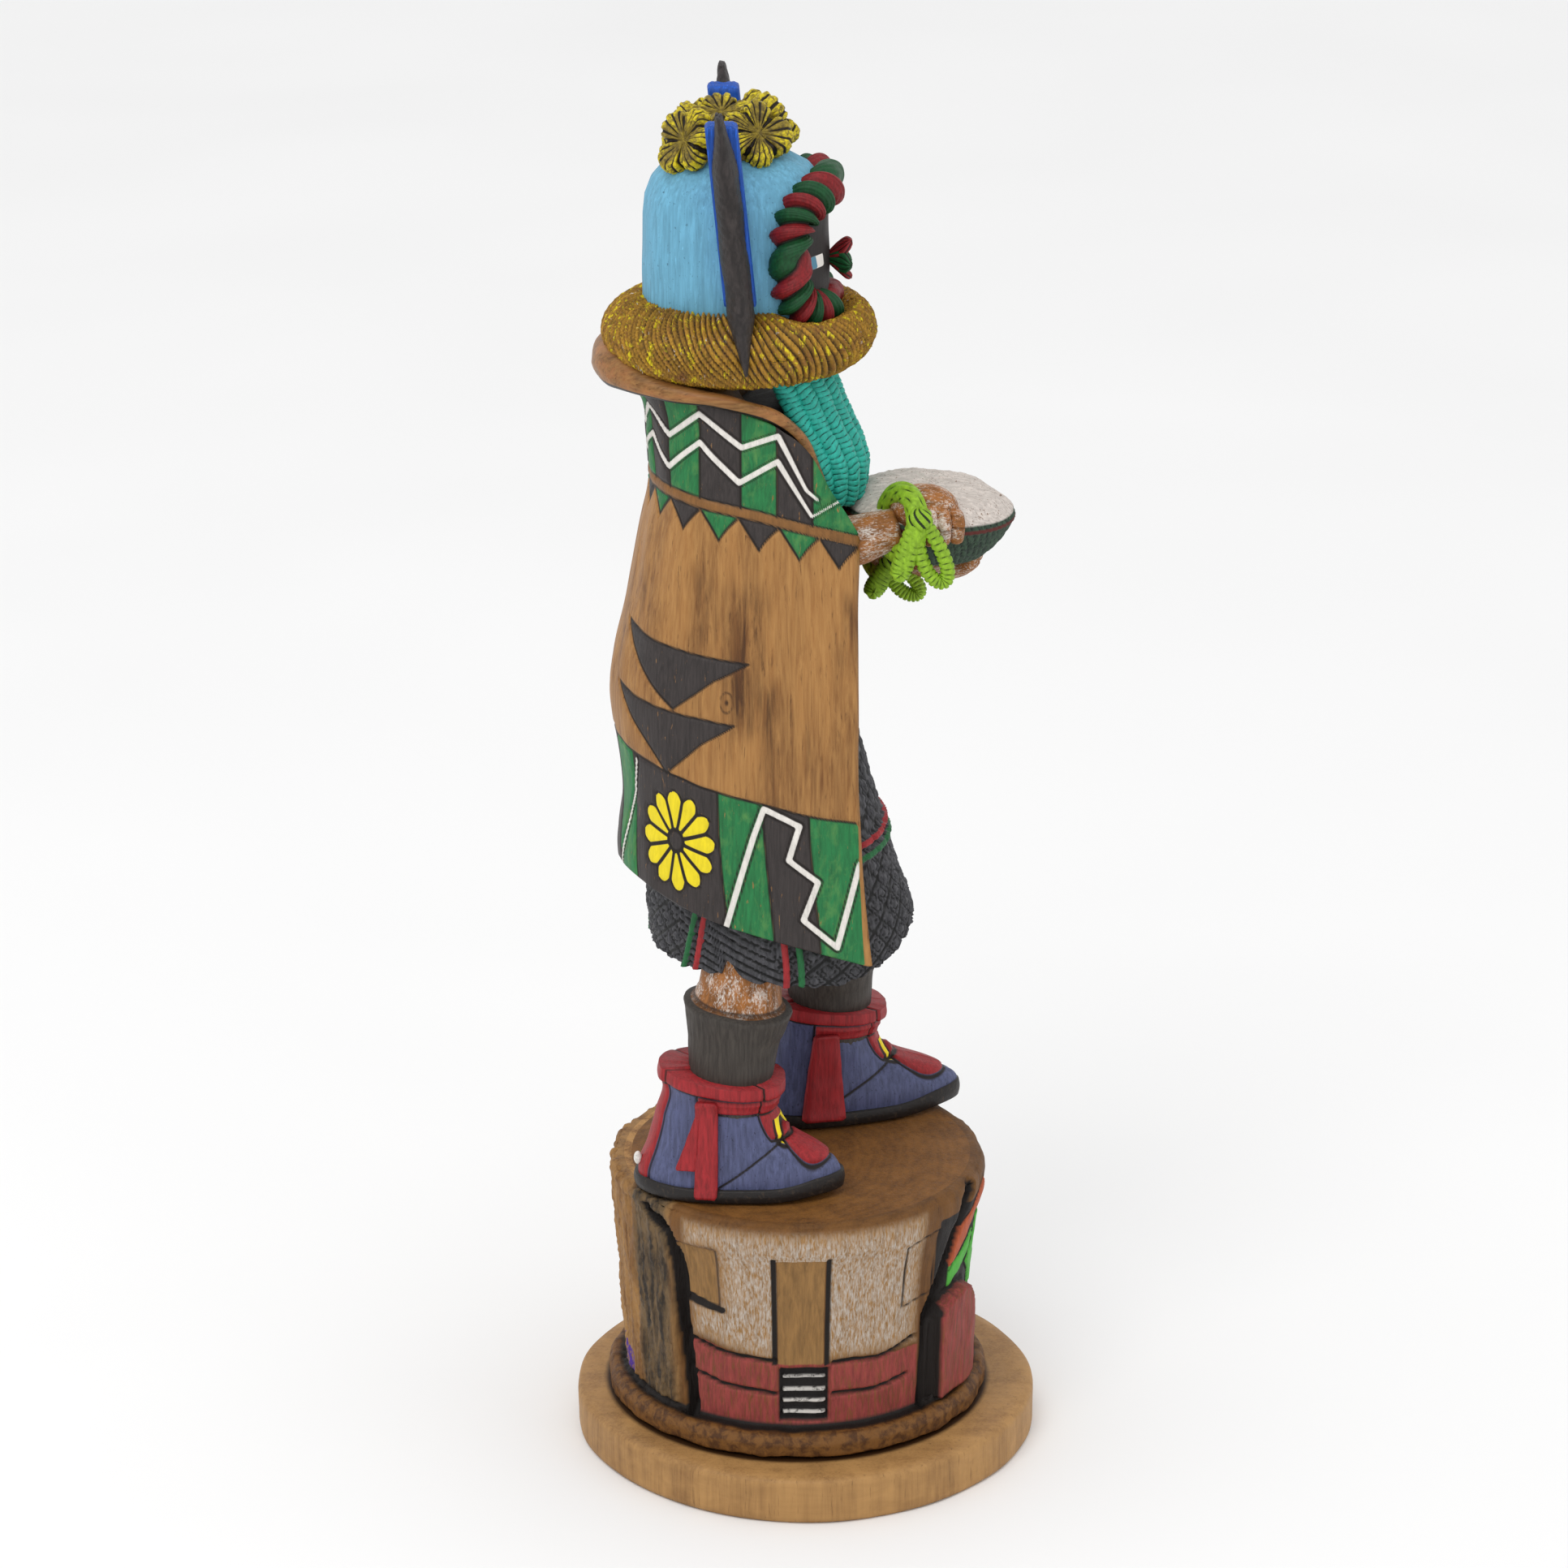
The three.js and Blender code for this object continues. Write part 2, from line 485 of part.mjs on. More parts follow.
// A named mesh for a finished solid.
function piece(name, made, color, roughness) {
  const mesh = made.getMesh();
  const geometry = new THREE.BufferGeometry();
  const count = mesh.numProp;
  const vertices = new Float32Array(mesh.numVert * 3);
  for (let i = 0; i < mesh.numVert; i++) {
    vertices.set(mesh.vertProperties.subarray(i * count, i * count + 3), i * 3);
  }
  geometry.setAttribute("position", new THREE.BufferAttribute(vertices, 3));
  geometry.setIndex(new THREE.BufferAttribute(mesh.triVerts, 1));
  const material = new THREE.MeshStandardMaterial({ color, roughness, metalness: 0 });
  const finished = new THREE.Mesh(geometry, material);
  finished.name = name;
  return finished;
}

const body = joined([
  shawl(), collar(), dress(), leg(FEET.right), leg(FEET.left), boot(FEET.right), boot(FEET.left),
  head(), ruff(), rope(), blossom(MOUTH), crown(), necklaces(), arms(), yarn(RIGHT_YARN), yarn(LEFT_YARN),
]);
const figure = body.subtract(basket(TOUCH)).subtract(wing(RIGHT, TOUCH)).subtract(wing(LEFT, TOUCH));

const doll = new THREE.Group();
doll.add(
  piece("plinth", plinth(), 0xb98a56, 0.7),
  piece("pueblo_stump", stumpSolid(), 0x9a6b3c, 0.75),
  piece("figure", figure, 0xa9773f, 0.7),
  piece("wing_right", wing(RIGHT), 0x26272b, 0.65),
  piece("wing_left", wing(LEFT), 0x26272b, 0.65),
  piece("meal_basket", basket(), 0xe6e0d8, 0.85),
);

export default doll;
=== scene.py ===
"""A carved and painted kachina doll on a pueblo stump, dressed for the camera.

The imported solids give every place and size; this file gives them their carving, burning and paint.
x runs the way the figure faces, y to its left, z up. Shapes are worked out in millimetres and turned to
metres where a mesh is finished.
"""
import math

import bmesh
import bpy
import numpy as np
from bpy.props import FloatProperty, FloatVectorProperty, IntProperty, PointerProperty
from bpy.types import Operator, Panel, PropertyGroup
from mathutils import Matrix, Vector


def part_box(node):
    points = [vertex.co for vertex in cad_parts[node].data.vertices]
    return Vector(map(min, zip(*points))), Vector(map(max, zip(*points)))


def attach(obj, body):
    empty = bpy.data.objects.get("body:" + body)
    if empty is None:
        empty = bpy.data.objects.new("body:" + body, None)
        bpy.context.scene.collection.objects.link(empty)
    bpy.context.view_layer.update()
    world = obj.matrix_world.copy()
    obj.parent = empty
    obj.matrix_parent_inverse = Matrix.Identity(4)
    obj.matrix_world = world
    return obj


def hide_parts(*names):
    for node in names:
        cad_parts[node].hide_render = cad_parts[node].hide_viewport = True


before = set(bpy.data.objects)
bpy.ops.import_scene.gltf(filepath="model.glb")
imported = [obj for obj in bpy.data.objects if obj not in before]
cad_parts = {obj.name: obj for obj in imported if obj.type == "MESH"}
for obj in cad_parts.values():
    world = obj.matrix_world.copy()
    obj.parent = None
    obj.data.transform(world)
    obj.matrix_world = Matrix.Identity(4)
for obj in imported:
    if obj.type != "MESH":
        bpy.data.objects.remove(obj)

bl_info = {
    "name": "Kachina doll maker",
    "version": (1, 0, 0),
    "blender": (4, 5, 0),
    "location": "View3D > Sidebar > Doll",
    "description": "Carves and paints a kachina doll round its packed solids",
    "category": "Object",
}

MM = 0.001
TURN = 2 * math.pi
RIGHT = -1
LEFT = 1
NOWHERE = -9.0  # far outside a paint
STUMP_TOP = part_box("pueblo_stump")[1][2] / MM

# The photograph's viewpoint: about a metre off, looking down a little.
CAMERA_PLACE = (-0.0048, -0.9955, 0.5143)
CAMERA_PITCH = math.radians(20.06)
CAMERA_LENS = 113.67


# Settings that a user would change


def hex_colour(code):
    """An sRGB hex colour as linear red, green, blue and full opacity."""
    parts = [int(code[i:i + 2], 16) / 255 for i in (1, 3, 5)]
    linear = [p / 12.92 if p <= 0.04045 else ((p + 0.055) / 1.055) ** 2.4 for p in parts]
    return (*linear, 1.0)


def colour(name, description, code):
    """A colour that the panel shows."""
    return FloatVectorProperty(
        name=name, description=description, default=hex_colour(code), size=4, min=0, max=1, subtype="COLOR")


def length(name, description, millimetres):
    """A length that the panel shows."""
    return FloatProperty(
        name=name, description=description, default=millimetres * MM, min=0, precision=5,
        subtype="DISTANCE", unit="LENGTH")


def count(name, description, number):
    """A number of things that the panel shows."""
    return IntProperty(name=name, description=description, default=number, min=1)


class WoodColours(PropertyGroup):
    light: colour("Light grain", "Pale streaks of the oiled wood", "#B88A50")
    wood: colour("Wood", "Body colour of the oiled wood", "#966735")
    dark: colour("Dark grain", "Brown bands of the oiled wood", "#6B421C")
    stump: colour("Stump", "Darker wood of the stump's top and foot", "#7F5424")
    # also the plinth's painted shadow round the stump
    stump_dark: colour("Stump grain", "Grain of the stump's top and foot", "#4A2C10")
    plinth: colour("Plinth", "Paler wood of the round plinth", "#AD8450")
    plinth_dark: colour("Plinth grain", "Grain of the round plinth", "#7D5A34")
    skin: colour("Bare limbs", "Tan wood of the arms and the bare leg", "#96602F")
    # also painted shade: under the collar's roll and at the leggings' rim
    burn: colour("Burnt line", "Lines drawn with the hot iron", "#150C07")


class PaintColours(PropertyGroup):
    black: colour("Black", "Black of the bands and triangles", "#2A2524")
    green: colour("Green", "Green of the bands", "#237A43")
    white: colour("White", "Lines, dust and whitewash", "#E6E1DA")
    yellow: colour("Yellow", "Petals and blossoms", "#EBD51C")
    red: colour("Red", "Boot bands, cords and the stump's red wall", "#A1252A")
    brick: colour("Brick", "The washed red of the pueblo's wall", "#AE4B45")
    sky: colour("Sky blue", "The case mask", "#6FB0CE")
    blue: colour("Blue", "The roots of the wings", "#1D56B8")
    boot: colour("Boot blue", "Purple-blue of the boots", "#565C80")
    turquoise: colour("Turquoise", "The necklaces", "#2FB5A4")
    lime: colour("Lime", "The yarn at the wrists", "#93BE2B")
    straw: colour("Straw", "Golden strands of the ruff", "#B8892B")
    meal: colour("Meal", "Ground corn in the basket", "#D8CEC6")
    leaf: colour("Leaf green", "Growing corn on the stump", "#5FC94A")
    orange: colour("Orange", "The slanting blade on the stump", "#D2653A")


class ShawlSizes(PropertyGroup):
    line: length("White line", "Width of the white zigzags", 1.25)
    burn: length("Burnt line", "Width of a burnt outline", 0.55)
    cut: length("Cut", "Depth of a burnt outline", 0.32)
    dag: length("Dag", "Width of one dag under the stripe", 8.4)
    petals: count("Petals", "Petals of the flower", 12)


class HeadSizes(PropertyGroup):
    radius: length("Mask", "Half length of the case mask", 19.5)
    side: length("Mask side", "Half width of the case mask", 18)
    rope: length("Rope", "Radius of the rope round the face", 4.6)
    turns: count("Turns", "Turns of the two-strand rope", 12)
    ruff: length("Ruff", "Radius of the ruff's middle", 18.8)
    ruff_out: length("Ruff width", "Half width of the ruff's section", 9.8)
    ruff_up: length("Ruff height", "Half height of the ruff's section", 7.7)
    strands: count("Strands", "Twisted strands round the ruff", 112)


class FigureSizes(PropertyGroup):
    arm: length("Forearm", "Radius of a forearm at the elbow", 6.4)
    near_wrist: length("Right wrist", "Radius of the right forearm at the wrist", 4.4)
    far_wrist: length("Left wrist", "Radius of the left forearm at the wrist", 5.2)
    finger: length("Finger", "Radius of a finger", 1.6)
    bead: length("Bead", "Length of one turquoise bead", 1.3)
    yarn: length("Yarn", "Radius of the yarn, of which each loop takes a share", 2.5)
    cord: length("Cord", "Width of a coloured cord on the skirt", 1.4)
    lattice: length("Lattice", "Width of one nested lozenge on the skirt", 4.6)


class StandSizes(PropertyGroup):
    rung: length("Rung", "Thickness of a ladder rung", 0.9)
    groove: length("Groove", "Width of the wall's burnt grooves", 1.5)
    deep: length("Groove depth", "Depth of the wall's burnt grooves", 0.8)


GROUPS = {
    "doll_wood": WoodColours, "doll_paint": PaintColours, "doll_shawl": ShawlSizes,
    "doll_head": HeadSizes, "doll_figure": FigureSizes, "doll_stand": StandSizes,
}


def setting(group, name):
    """A setting as it stands: a length in millimetres, a number as it is, a colour as four numbers."""
    value = getattr(getattr(bpy.context.scene, group), name)
    if isinstance(value, int):
        return value
    return value / MM if isinstance(value, float) else tuple(value)


def wood(name):
    return setting("doll_wood", name)


def paint(name):
    return setting("doll_paint", name)


# Curves and shapes


def smooth_through(*pairs):
    """A smooth function of one number through (place, value) pairs."""
    places, values = np.array(pairs, float).T
    slopes = np.gradient(values, places)

    def at(place):
        place = np.clip(place, places[0], places[-1])
        i = np.clip(np.searchsorted(places, place) - 1, 0, len(places) - 2)
        step = places[i + 1] - places[i]
        t = (place - places[i]) / step
        return ((1 + 2 * t) * (1 - t) ** 2 * values[i] + t * (1 - t) ** 2 * step * slopes[i]
                + t * t * (3 - 2 * t) * values[i + 1] + t * t * (t - 1) * step * slopes[i + 1])
    return at


def ease(t):
    """From 0 to 1 with a soft start and end."""
    t = np.clip(t, 0, 1)
    return t * t * (3 - 2 * t)


def mix(low, high, t):
    """The value a share t of the way from low to high."""
    return low + (high - low) * t


def signed_power(t, n):
    """A power that keeps its sign."""
    return np.sign(t) * np.abs(t) ** n


def chance(number):
    """A fixed, uneven value from 0 to 1 for each whole number."""
    return np.abs(np.sin(np.round(number) * 12.9898 + 4.1) * 43758.5453) % 1


def waves(p, q, size, seed):
    """Slow, uneven waves between about -1 and 1, as a knife leaves, over two lengths in millimetres."""
    rng = np.random.default_rng(seed)
    total = np.zeros(np.broadcast(p, q).shape)
    for _ in range(7):
        turn = rng.uniform(0, TURN)
        stretch = size * rng.uniform(0.6, 1.7)
        total += np.sin((p * math.cos(turn) + q * math.sin(turn)) * TURN / stretch + rng.uniform(0, TURN))
    return total / 3.5


def dab(distance, wide, high):
    """A soft ridge, or a cut where high is below nought, of a given width."""
    return high * np.exp(-(distance / (0.5 * wide)) ** 2)


def distance_to_line(p, q, corners):
    """How far each point is from a run of straight stretches."""
    best = np.full(np.broadcast(p, q).shape, 1e9)
    for (p0, q0), (p1, q1) in zip(corners, corners[1:]):
        dp, dq = p1 - p0, q1 - q0
        t = np.clip(((p - p0) * dp + (q - q0) * dq) / (dp * dp + dq * dq), 0, 1)
        best = np.minimum(best, np.hypot(p - p0 - t * dp, q - q0 - t * dq))
    return best


def inside_shape(p, q, corners):
    """How far each point lies inside a closed shape, negative outside it."""
    reach = distance_to_line(p, q, [*corners, corners[0]])
    within = np.zeros(np.broadcast(p, q).shape, bool)
    for (p0, q0), (p1, q1) in zip(corners, [*corners[1:], corners[0]]):
        if q0 != q1:
            crosses = (q0 > q) != (q1 > q)
            within ^= crosses & (p < (p1 - p0) * (q - q0) / (q1 - q0) + p0)
    return np.where(within, reach, -reach)


def path(*points):
    """A smooth line through a few points, from 0 to 1."""
    places = np.array(points, float)
    along = np.concatenate([[0], np.cumsum(np.linalg.norm(np.diff(places, axis=0), axis=1))])
    curves = [smooth_through(*zip(along / along[-1], places[:, k])) for k in range(3)]
    return lambda t: np.stack([curve(t) for curve in curves])


def unit(vectors):
    return vectors / (np.linalg.norm(vectors, axis=0) + 1e-12)


def profile(outline, shares=1.0):
    """Both numbers of an outline's corners along it, drawn finer where a stretch's share is larger."""
    places = np.array(outline, float)
    steps = np.hypot(*np.diff(places, axis=0).T) * np.array(shares)
    along = np.concatenate([[0], np.cumsum(steps)]) / steps.sum()
    return lambda v: [np.interp(v, along, places[:, k]) for k in range(2)]


def ring(middle, wide, deep, angle, z):
    """A point on an oval round a middle."""
    return np.stack([middle[0] + wide * np.cos(angle), middle[1] + deep * np.sin(angle), z + 0 * angle])


def to_seam(along):
    """How near a place is to a whole number: 1 at the seams, 0 halfway between them."""
    return np.abs(along % 1 - 0.5) * 2


def only(where, distance):
    """A distance into a paint, and far outside it where a condition fails."""
    return np.where(where, distance, NOWHERE)


def sweep(line, wide, tall=None, up=(0, 0, 1), blunt=0.06, closed=False):
    """A form along a line: u goes round it, v along it. Its ends are rounded unless it is closed."""
    tall = tall or wide

    def place(u, v):
        v = v % 1 if closed else np.clip(v, 0, 1)
        step = 2e-3
        after = line((v + step) % 1 if closed else np.clip(v + step, 0, 1))
        before = line((v - step) % 1 if closed else np.clip(v - step, 0, 1))
        ahead = unit(after - before)
        upright = up(v) if callable(up) else np.array(up, float)[:, None] * np.ones(len(v))
        side = unit(np.cross(upright, ahead, axis=0))
        rise = np.cross(ahead, side, axis=0)
        ends = 1.0
        if not closed:
            short = np.clip(1 - np.minimum(v, 1 - v) / blunt, 0, 1)
            ends = np.sqrt(np.clip(1 - short ** 2, 0, 1))
        return line(v) + ends * (wide(v) * np.cos(TURN * u) * side + tall(v) * np.sin(TURN * u) * rise)
    return place


def capped(wall, blunt=0.03):
    """Closes a wall at both its ends, each on its own middle."""
    def place(u, v):
        inner = np.clip((v - blunt) / (1 - 2 * blunt), 0, 1)
        middle = (wall(0 * u, inner) + wall(0 * u + 0.5, inner)) / 2
        share = np.clip(np.minimum(v, 1 - v) / blunt, 0, 1)
        return middle + (wall(u, inner) - middle) * share
    return place


def outward(place, u, v):
    """The direction that a form faces at each of its points."""
    step = 1e-3
    du = place(u + step, v) - place(u - step, v)
    dv = place(u, np.clip(v + step, 0, 1)) - place(u, np.clip(v - step, 0, 1))
    normal = unit(np.cross(du, dv, axis=0))
    points = place(u, v)
    return -normal if np.sum(normal * (points - points.mean(axis=1, keepdims=True))) < 0 else normal


def skin(name, place, columns, rows, relief=None, marks=None):
    """Bends a grid into a closed form, raises its carving and keeps what the paint needs on its points."""
    grid = bmesh.new()
    bmesh.ops.create_grid(grid, x_segments=columns, y_segments=rows, size=0.5)
    mesh = bpy.data.meshes.new(name)
    grid.to_mesh(mesh)
    grid.free()
    flat = np.empty(3 * len(mesh.vertices))
    mesh.vertices.foreach_get("co", flat)
    u = np.round((flat[0::3] + 0.5) * columns) / columns
    v = np.round((flat[1::3] + 0.5) * rows) / rows
    points = place(u, v)
    if relief:
        points = points + outward(place, u, v) * relief(u % 1, v)
    for mark, values in (marks(u % 1, v) if marks else {}).items():
        layer = mesh.attributes.new(mark, "FLOAT", "POINT")
        layer.data.foreach_set("value", np.broadcast_to(values, u.shape).astype(np.float32))
    mesh.vertices.foreach_set("co", (points * MM).T.ravel())
    shell = bmesh.new()
    shell.from_mesh(mesh)
    bmesh.ops.remove_doubles(shell, verts=shell.verts, dist=2e-6)
    bmesh.ops.dissolve_degenerate(shell, edges=shell.edges, dist=1e-7)
    bmesh.ops.recalc_face_normals(shell, faces=shell.faces)
    for face in shell.faces:
        face.smooth = True
    shell.to_mesh(mesh)
    shell.free()
    made = bpy.data.objects.new(name, mesh)
    bpy.context.scene.collection.objects.link(made)
    return made


def join(name, pieces):
    """Joins like pieces into one object."""
    first = pieces[0]
    with bpy.context.temp_override(active_object=first, selected_editable_objects=pieces):
        bpy.ops.object.join()
    first.name = name
    return first


def finish(piece, material, node):
    """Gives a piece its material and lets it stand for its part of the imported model."""
    piece.data.materials.clear()
    piece.data.materials.append(material)
    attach(piece, "root")
    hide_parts(node)
    return piece


# Paints and woods


def add(tree, kind, inputs=None, **settings):
    """Adds one node with its settings, and its inputs as values or as links."""
    made = tree.nodes.new(kind)
    for name, value in settings.items():
        setattr(made, name, value)
    for socket, value in (inputs or {}).items():
        if isinstance(value, bpy.types.NodeSocket):
            tree.links.new(value, made.inputs[socket])
        else:
            made.inputs[socket].default_value = value
    return made


def fibres(tree, across, along, detail=5, axis="Z"):
    """Streaks of wood fibre: so many millimetres across, so many along an axis."""
    spot = add(tree, "ShaderNodeTexCoord").outputs["Object"]
    scale = [1 / (across * MM)] * 3
    scale["XYZ".index(axis)] = 1 / (along * MM)
    moved = add(tree, "ShaderNodeMapping", {"Vector": spot, "Scale": scale})
    return add(tree, "ShaderNodeTexNoise", {
        "Vector": moved.outputs[0], "Scale": 1.0, "Detail": detail, "Roughness": 0.62,
        "Distortion": 0.4}).outputs["Fac"]


def ranged(tree, value, low, high, least=0.0, most=1.0):
    """Spreads the range from low to high over the one from least to most."""
    return add(tree, "ShaderNodeMapRange", {0: value, 1: low, 2: high, 3: least, 4: most}).outputs[0]


def blend(tree, share, below, above):
    """A share of one colour laid over another."""
    return add(tree, "ShaderNodeMix", {0: share, 6: below, 7: above}, data_type="RGBA").outputs[2]


def between(tree, value, low, high, below, above):
    """Turns a value's range from low to high into a blend of two colours."""
    return blend(tree, ranged(tree, value, low, high), below, above)


def streaks(tree, grain, low, high, below, above):
    """A blend of two colours by a texture of fibres, whose grain is what fibres takes."""
    return between(tree, fibres(tree, *grain), low, high, below, above)


def mark_of(tree, mark):
    """A value that the piece's own points carry."""
    return add(tree, "ShaderNodeAttribute", attribute_name=mark).outputs["Fac"]


def lay(tree, below, paint_on, mark, soft=0.1, worn=None):
    """Lays a paint where the piece's mark is above nought, thinner where a texture wears it."""
    share = ranged(tree, mark_of(tree, mark), 0.0, soft)
    if worn is not None:
        share = add(tree, "ShaderNodeMath", {0: share, 1: worn}, operation="MULTIPLY").outputs[0]
    return blend(tree, share, below, paint_on)


def holds(tree, across=0.7, along=3.5, low=0.28, high=0.36):
    """Where a thin paint still holds: nearly everywhere, but not in small worn flecks."""
    return ranged(tree, fibres(tree, across, along, 6), low, high)


def shade(code, share):
    """A colour made darker or lighter by a share."""
    return (*[min(1, part * share) for part in code[:3]], 1)


def material_of(name, paint_it, bumps, roughness=0.6, spread=0.1, gloss=0.35):
    """Makes a material once. paint_it(tree) gives its colour, and bumps the grain of its relief."""
    if name in bpy.data.materials:
        return bpy.data.materials[name]
    material = bpy.data.materials.new(name)
    material.use_nodes = True
    tree = material.node_tree
    tree.nodes.clear()
    normal = None
    for across, along, height, axis in bumps:
        inputs = {"Height": fibres(tree, across, along, 6, axis), "Strength": 1.0, "Distance": height * MM}
        if normal:
            inputs["Normal"] = normal
        normal = add(tree, "ShaderNodeBump", inputs).outputs["Normal"]
    patchy = ranged(tree, fibres(tree, 2.5, 6), 0, 1, roughness - spread, roughness + spread)
    shader = add(tree, "ShaderNodeBsdfPrincipled", {
        "Base Color": paint_it(tree), "Roughness": patchy, "Normal": normal, "IOR": 1.46,
        "Specular IOR Level": gloss})
    add(tree, "ShaderNodeOutputMaterial", {"Surface": shader.outputs[0]})
    return material


def dusted(tree, below, axis="Z"):
    """White dust rubbed into the grain: soft patches made of fine specks."""
    patches = fibres(tree, 4.5, 7, 3, axis)
    specks = fibres(tree, 0.32, 0.7, 3, axis)
    both = add(tree, "ShaderNodeMath", {0: patches, 1: specks}, operation="ADD").outputs[0]
    chalky = blend(tree, 0.75, below, paint("white"))
    return between(tree, both, 1.0, 1.26, below, chalky)


def grained(tree, light, body, dark, axis="Z", broad=7):
    """Oiled cottonwood root: fine streaks along the grain, broader darker bands, and a few dark ticks."""
    bands = streaks(tree, (broad, broad * 9, 3, axis), 0.38, 0.62, dark, body)
    fine = streaks(tree, (0.7, 16, 6, axis), 0.3, 0.66, bands, light)
    half = blend(tree, 0.6, bands, fine)
    return streaks(tree, (0.6, 8, 4, axis), 0.6, 0.74, half, shade(dark, 0.6))


def brushed(tree, code, across=0.9, along=12, axis="Z", low=0.35, high=0.75, dark=0.6):
    """A thin paint that the brush left lighter and darker along the fibres."""
    return between(tree, fibres(tree, across, along, 5, axis), low, high, code, shade(code, dark))


# The shawl

SHAWL_BACK = smooth_through(
    (118, -38), (130, -39.6), (139, -40.6), (152, -39.5), (161, -40.2), (168, -41.4), (174, -41.9),
    (180, -41.3), (190, -39.1), (201, -36.8), (212, -34.8), (217, -33.6), (230, -33.8), (237, -34.6),
    (243, -38))
SHAWL_HALF = smooth_through(
    (118, 31), (150, 29.5), (175, 28.5), (200, 27), (220, 25.5), (232, 23.5), (243, 22.5))
SHAWL_EDGE = smooth_through((118, 14.3), (135, 12.6), (150, 11.2), (165, 10.9), (218, 10.8))
SHAWL_TUCK = smooth_through((118, 0.5), (150, 1.5), (218, 3.5))
SHAWL_CORNER_X = -14
SHAWL_ROUND = 0.64  # the share of each half that bends round the back
SHAWL_HEM = smooth_through((0, 136), (0.25, 136.6), (0.5, 132.2), (0.75, 126.2), (1, 120.6))
SHAWL_TOP = smooth_through(
    (0, 245), (0.3, 243), (0.62, 240), (0.76, 236), (0.86, 230), (0.92, 222.6), (0.955, 219), (1, 213.6))
SHAWL_FRONT = 0.02  # the columns that close the shawl across the chest, at each end
SHAWL_MIDDLE = 0.62  # where the back lies on the grid, which is finer on the shawl's right half
SHAWL_END = 0.014  # the rows that close the hem and the neck

BLOCKS = (10, 17.3, 24.8, 33.6, 42, 49.4, 57.2)  # where the upper band's columns meet, from the front edge
STRIPE = smooth_through((0, 212.2), (10, 215), (25, 219.2), (36, 221), (66, 221.6))
STRIPE_HALF = 1.0
ZIGZAGS = (
    [(8.9, 221.3), (11.2, 223.3), (17.1, 234.6), (24.6, 232.3), (33.4, 238.9), (41.6, 233.3),
     (48.9, 238), (57, 232.4), (66, 237)],
    [(2.6, 221.6), (5.3, 220.3), (10.1, 217.9), (17.2, 229.4), (25.1, 225.2), (33.6, 233),
     (42, 226.6), (49, 232), (57, 226.6), (66, 231)],
)
DAG_TIPS = smooth_through((0, 205.4), (15, 209.4), (31, 213.4), (46, 215.9), (66, 216.2))
TRIANGLES = (
    [(55.5, 192), (45.7, 190.2), (34.7, 188.8), (23, 187), (30.5, 183.2), (39.4, 176.5), (45.9, 181.6),
     (52.3, 187.6)],
    [(57, 178.6), (50.5, 177.2), (33.4, 175), (26, 173.8), (33, 169.6), (41.3, 162.2), (46.8, 168),
     (52.2, 173.4)],
)
BAND_TOP = smooth_through(
    (0, 152), (10, 153.7), (20, 156.6), (30, 159.3), (42, 162.5), (58, 165), (70, 165.6))
BAND_BLOCKS = (10.7, 20.2, 29.8, 52.4, 62)
STAINS = (  # arc, lowest and highest place, width and strength of the wood's darker streaks
    (24.5, 168, 207, 9, 1.0), (18.5, 150, 186, 5, 0.8), (33, 186, 210, 5, 0.6), (2.5, 182, 204, 4, 0.8),
    (50, 190, 206, 3, 0.6), (30, 162, 166, 4, 0.9), (11, 156, 176, 3, 0.4))
KNOT = {"around": 27.6, "z": 178.9}
STEPS = [(30, 130), (20.1, 155.8), (12.7, 151.8), (15.5, 144.4), (9.8, 139.5), (13.7, 131.2), (7.2, 125.1),
         (0.6, 143.4)]
SIDE_LINE = [(50.9, 163), (52.6, 155), (56.1, 147.9), (62, 136)]
FLOWER = {"around": 39.8, "z": 147.6, "wide": 9, "tall": 10.8}


def shawl_wall(share, z):
    """The shawl's outside: share runs from -1 at its right edge over 0 at the back to 1 at its left."""
    reach = np.abs(share)
    angle = np.clip(reach / SHAWL_ROUND, 0, 1) * math.pi / 2
    q = np.clip((reach - SHAWL_ROUND) / (1 - SHAWL_ROUND), 0, 1)
    back, half = SHAWL_BACK(z), SHAWL_HALF(z)
    round_x = SHAWL_CORNER_X - (SHAWL_CORNER_X - back) * np.abs(np.cos(angle)) ** 0.9
    x = np.where(reach > SHAWL_ROUND, mix(SHAWL_CORNER_X, SHAWL_EDGE(z), q), round_x)
    y = np.where(reach > SHAWL_ROUND, half - SHAWL_TUCK(z) * q * q, half * np.abs(np.sin(angle)) ** 0.9)
    return x, np.where(share < 0, -y, y)


def shawl_distance(share, z):
    """How far round the shawl a point is from the nearer front edge."""
    steps = np.linspace(-1, 0, 161)
    levels = np.linspace(118, 246, 17)
    rows = []
    for level in levels:
        x, y = shawl_wall(steps, np.full_like(steps, level))
        rows.append(np.concatenate([[0], np.cumsum(np.hypot(np.diff(x), np.diff(y)))]))
    table = np.array(rows)
    i = np.clip((z - levels[0]) / (levels[1] - levels[0]), 0, 15.999)
    j = np.clip((1 - np.abs(share)) * 160, 0, 159.999)
    i0, j0 = i.astype(int), j.astype(int)
    low = mix(table[i0, j0], table[i0, j0 + 1], j - j0)
    high = mix(table[i0 + 1, j0], table[i0 + 1, j0 + 1], j - j0)
    return mix(low, high, i - i0)


def shawl_share(u):
    """The share round the shawl for a place on its grid, and how far that place is across the chest."""
    right = (u - SHAWL_MIDDLE) / (SHAWL_MIDDLE - SHAWL_FRONT)
    left = (u - SHAWL_MIDDLE) / (1 - SHAWL_FRONT - SHAWL_MIDDLE)
    share = np.clip(np.where(u < SHAWL_MIDDLE, right, left), -1, 1)
    chest = np.clip(1 - np.minimum(u, 1 - u) / SHAWL_FRONT, 0, 1)
    return share, chest


